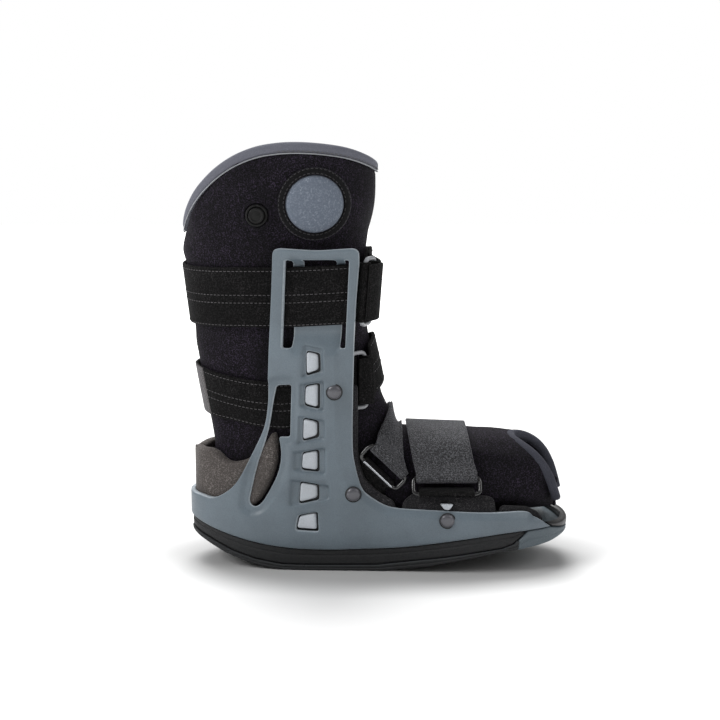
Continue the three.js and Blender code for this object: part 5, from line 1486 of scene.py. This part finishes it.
# bindings: grey tape round the cuff with a light cord under it, darker tape round the toe mouth
bindingLook = {"inset": 3.0, "half": 3.5, "high": 4.0, "lift": 2.6, "mouthHigh": 3.6, "mouthLift": 1.9, "cord": 0.5}
angle = np.linspace(0, 2 * np.pi, 240, endpoint=False)
z = np.full(240, cuffPeak * 0.95)
for _ in range(30):
    z = lerp(z, cuffHeight(*legPoint(angle, z, -bindingLook["inset"])[:, :2].T), 0.6)
rimLine = legPoint(angle, z, -bindingLook["inset"])
rimOut = unit(legPoint(angle, z) - rimLine)
section = ovalProfile(bindingLook["half"], bindingLook["high"], 22, -bindingLook["lift"], 2.6)
points, faces = sweep(rimLine, rimOut, section, True)
cuff = makePiece("cuff_edge_tape", points, faces, looks["binding"], "binding", ["cuff_binding"])
along = unit(np.roll(rimLine, -1, 0) - np.roll(rimLine, 1, 0))
below = unit(np.cross(along, rimOut))
cordLine = rimLine + rimOut * (bindingLook["half"] - 0.5) + below * 1.4
points, faces = sweep(cordLine, rimOut, ovalProfile(bindingLook["cord"], bindingLook["cord"], 10), True)
makePiece("cuff_piping", points, faces, looks["piping"], "piping")
stitchLine = rimLine + rimOut * (bindingLook["half"] - 0.25) - below * 0.2
points, faces = stitchRow(np.roll(stitchLine, 60, 0)[:120], np.roll(rimOut, 60, 0)[:120], 3.6, 2.2, 0.3)
makePiece("cuff_stitches", points, faces, looks["thread"], "binding")

rimLine = footPoint(mouthAngle, mouthS, -bindingLook["inset"])
rimOut = unit(footPoint(mouthAngle, mouthS) - rimLine)
section = ovalProfile(bindingLook["half"], bindingLook["mouthHigh"], 20, bindingLook["mouthLift"], 2.6)
points, faces = sweep(rimLine, rimOut, section, False)
mouth = makePiece("toe_mouth_tape", points, faces, looks["toeBinding"], "binding", ["mouth_binding"])
print("bindings done")

# pump and valve on the near side of the calf
pumpLook = {"s": 0.3378, "height": 0.8755 * cuffPeak, "radius": 21.0, "rise": 3.3, "ring": 5.2, "ringRise": 2.0}
valveLook = {"s": 0.1956, "height": 0.8514 * cuffPeak, "sunk": 1.5,
             "cup": [(0, 0), (7.6, 0), (8, 0.4), (8, 5.6), (7.85, 6.1), (7.4, 6.45), (6.9, 6.5), (6.4, 6.4),
                     (6.1, 6.0), (6.1, 1.8), (5.9, 1.6), (0, 1.6)],
             "knob": [(0, 3.4), (5.5, 3.4), (5.7, 3.6), (5.7, 7.4), (5.5, 7.95), (5.0, 8.25), (4.3, 8.3), (3.9, 7.9),
                      (3.2, 7.8), (2.6, 8.1), (0, 8.2)],
             "pad": [(8.3, -0.4), (10.6, -0.4), (11.2, 0.2), (10.8, 1.2), (9.2, 1.9), (8.4, 1.4)]}


def nearY(x, z):
    # The leg form's near side
    middle, depth, half = legSection(z)
    return -half * np.maximum(1 - np.abs((x - middle) / depth) ** legPower, 0) ** (1 / legPower)


def onSide(outline, s, height, count=72):
    # Outline (radius, height above the calf) laid on the bootie's near side
    r, h = np.array(outline, float).T
    angle = np.linspace(0, 2 * np.pi, count, endpoint=False)
    x, z = sx(s) + r[:, None] * np.cos(angle), height + r[:, None] * np.sin(angle)
    return np.stack([x, nearY(x, z) - h[:, None] + 0 * x, z], -1)


r = np.linspace(0, 1, 22)
dome = np.stack([r * pumpLook["radius"], pumpLook["rise"] * (1 - r ** 7) ** 0.5 + 0.35 * (1 - r * r)], -1)
outline = np.concatenate([dome, [[pumpLook["radius"], -0.5], [0, -0.5]]])
points, faces = capped(onSide(outline, pumpLook["s"], pumpLook["height"]))
pump = makePiece("pump_cover", points, faces, looks["pump"], "pump", ["pump_cushion"])
turn = np.linspace(0, 2 * np.pi, 14, endpoint=False)
ringR = pumpLook["radius"] + 0.4 + pumpLook["ring"] / 2 * (1 + np.cos(turn))
ringH = pumpLook["ringRise"] * (0.25 + 0.75 * np.sin(turn))
points = onSide(np.stack([ringR, ringH], -1), pumpLook["s"], pumpLook["height"], 96).reshape(-1, 3)
faces = faceOut(points, gridFaces(len(turn), 96, True, True))
makePiece("pump_border", points, faces, looks["pumpRing"], "pump", ["pump_ring"])
for tag, radius, rise in (("inner", 1.1, 0.86), ("outer", pumpLook["ring"] - 0.7, 0.72)):
    row = [pumpLook["radius"] + 0.4 + radius, pumpLook["ringRise"] * rise]
    loop = onSide([row, row], pumpLook["s"], pumpLook["height"], 160)[0]
    points, faces = stitchRow(loop, np.broadcast_to([0, -1.0, 0], loop.shape), 3.3, 2.0, 0.27)
    makePiece("pump_stitches_" + tag, points, faces, looks["darkThread"], "pump")

valveAt = np.array([sx(valveLook["s"]), 0, valveLook["height"]])
valveAt[1] = nearY(valveAt[0], valveAt[2]) + valveLook["sunk"]
notch = lambda r, h, a: -0.9 * smooth(np.cos(4 * a), 0.82, 0.95) * (r > 6.0) * (h > 5.5) + 0 * a * r
points, faces = turnedY(valveLook["cup"], valveAt, 64, notch)
makePiece("valve_cup", points, faces, looks["valve"], "valve", ["valve_body"])
points, faces = turnedY(valveLook["knob"], valveAt, 48)
makePiece("release_knob", points, faces, looks["valve"], "valve", ["release_button"], body="release_button")
points = onSide(valveLook["pad"], valveLook["s"], valveLook["height"]).reshape(-1, 3)
faces = faceOut(points, gridFaces(len(valveLook["pad"]), 72, True, True))
makePiece("valve_pad", points, faces, looks["bootie"], "pump")
print("pump and valve done")

# small hardware: rivets, each over a dark ring that paints the shadow round its head, and the clip under the toe
# strap's ring
rivetLook = {
    "spots": [(0.3843, 0.567), (0.432, 0.246), (0.673, 0.17)], "sunk": 0.1,
    "dome": [(0, -3.2), (2.5, -3.2), (2.6, -0.1), (5.2, -0.1), (5.3, 0.3), (5.1, 0.9), (4.5, 1.5), (3.4, 1.95),
             (1.8, 2.2), (0, 2.25)],
    "seat": [(0, -0.15), (6.2, -0.15), (6.3, 0.1), (5.6, 0.3), (0, 0.3)],
}
for tag in ("near", "far"):
    for k, (s, t) in enumerate(rivetLook["spots"]):
        place = (sx(s), -float(shellHalf(s, t) - soleTuck(t)) - rivetLook["sunk"], sz(t))
        dome, seat = turnedY(rivetLook["dome"], place, 40), turnedY(rivetLook["seat"], place, 40)
        if tag == "far":
            dome, seat = farSide(*dome), farSide(*seat)
        makePiece(f"rivet_dome_{tag}_{k + 1}", *dome, looks["rivet"], "rivet", [f"rivet_{tag}_{k + 1}"])
        makePiece(f"rivet_seat_{tag}_{k + 1}", *seat, looks["shadowGap"], "rivet")
clipRows = [[0.667, 0.203], [0.679, 0.203], [0.69, 0.221], [0.656, 0.221]]
loop = spaced(roundedPolygon(toFlat(clipRows), 1.2, 4), 0.9, True)
points, faces, marks = plate(loop, [], 1.6, 0.4, 2.6, 0.6, cuts=(0.3, 0.7))
makePiece("ring_clip", points, faces, looks["insert"], "insert", ["strap_clip"], marks=marks)
print("hardware done")


# studio: pale floor, soft light, and the camera at the photograph's angle
studio = {
    "eye": (-0.0131, -1.1621, 0.3614), "pitch": 80.0, "lens": 76.13, "floorSize": 6.0, "floorHeight": -0.0003,
    "key": 22.0, "fill": 10.0, "rim": 9.0, "sun": 2.7, "sunAngle": 36.0, "world": 0.31, "backdrop": 1.0,
    "contactShadowLength": 0.15, "contactShadowWidth": 0.075, "contactShadow": (0.8, 1.5, 0.5, 1.0), "glow": (0.3, 1.3, 0.0, 0.75),
}


def stand(name, data, place=(0, 0, 0), turn=(0, 0, 0)):
    # An object put in the scene at a place, turned
    obj = bpy.data.objects.new(name, data)
    obj.location, obj.rotation_euler = place, turn
    bpy.context.scene.collection.objects.link(obj)
    return obj


cameraData = bpy.data.cameras.new("camera")
cameraData.lens = studio["lens"]
cameraData.sensor_width = 36
cameraData.sensor_fit = "HORIZONTAL"
bpy.context.scene.camera = stand("camera", cameraData, studio["eye"], (math.radians(studio["pitch"]), 0, 0))

floorMesh = bpy.data.meshes.new("floor")
half, low = studio["floorSize"] / 2, studio["floorHeight"]
floorMesh.from_pydata([(-half, -half, low), (half, -half, low), (half, half, low), (-half, half, low)],
                      [], [(0, 1, 2, 3)])
floor = stand("floor", floorMesh)
floorLook = bpy.data.materials.new("pale floor")
floorLook.use_nodes = True
floorShader = floorLook.node_tree.nodes["Principled BSDF"]
floorShader.inputs["Roughness"].default_value = 0.9
floorShader.inputs["Specular IOR Level"].default_value = 0.1
floorShader.inputs["Emission Strength"].default_value = 1.0
# a painted contact shadow darkens an oval under the boot, and the floor glows far out so that it meets the white
# behind
wiring = Wiring(floorLook.node_tree)
oval = wiring.vector("MULTIPLY", wiring.place(), (1 / studio["contactShadowLength"], 1 / studio["contactShadowWidth"], 0))
contactShadow = wiring.ranged(wiring.vector("LENGTH", oval), *studio["contactShadow"])
wiring.put(floorShader.inputs["Base Color"], wiring.shaded((0.8, 0.8, 0.8, 1), contactShadow))
glow = wiring.ranged(wiring.vector("LENGTH", wiring.place()), *studio["glow"])
wiring.put(floorShader.inputs["Emission Color"], wiring.shaded((1, 1, 1, 1), glow))
floorMesh.materials.append(floorLook)


def addLight(name, place, aim, width, height, power):
    # Soft rectangular light at a place, turned towards its aim
    data = bpy.data.lights.new(name, "AREA")
    data.shape, data.size, data.size_y, data.energy = "RECTANGLE", width, height, power
    stand(name, data, place, (Vector(aim) - Vector(place)).to_track_quat("-Z", "Y").to_euler())


addLight("key light", (-1.3, -0.7, 1.2), (0, 0, 0.15), 0.8, 0.8, studio["key"])
addLight("fill light", (1.3, -0.8, 1.2), (0, 0, 0.12), 1.0, 1.0, studio["fill"])
addLight("back light", (-0.3, 1.1, 1.1), (0, 0, 0.15), 1.4, 0.8, studio["rim"])
sun = bpy.data.lights.new("high light", "SUN")
sun.energy, sun.angle = studio["sun"], math.radians(studio["sunAngle"])
stand("high light", sun, turn=(math.radians(-24), math.radians(-8), 0))
world = bpy.data.worlds.new("studio")
world.use_nodes = True
sky = world.node_tree.nodes["Background"]
sky.inputs["Color"].default_value = (1, 1, 1, 1)
wiring = Wiring(world.node_tree)
seen = world.node_tree.nodes.new("ShaderNodeLightPath").outputs["Is Camera Ray"]
wiring.put(sky.inputs["Strength"], wiring.ranged(seen, 0, 1, studio["world"], studio["backdrop"], "LINEAR"))
bpy.context.scene.world = world
bpy.context.scene.view_settings.view_transform = "Standard"

print("scene ready")
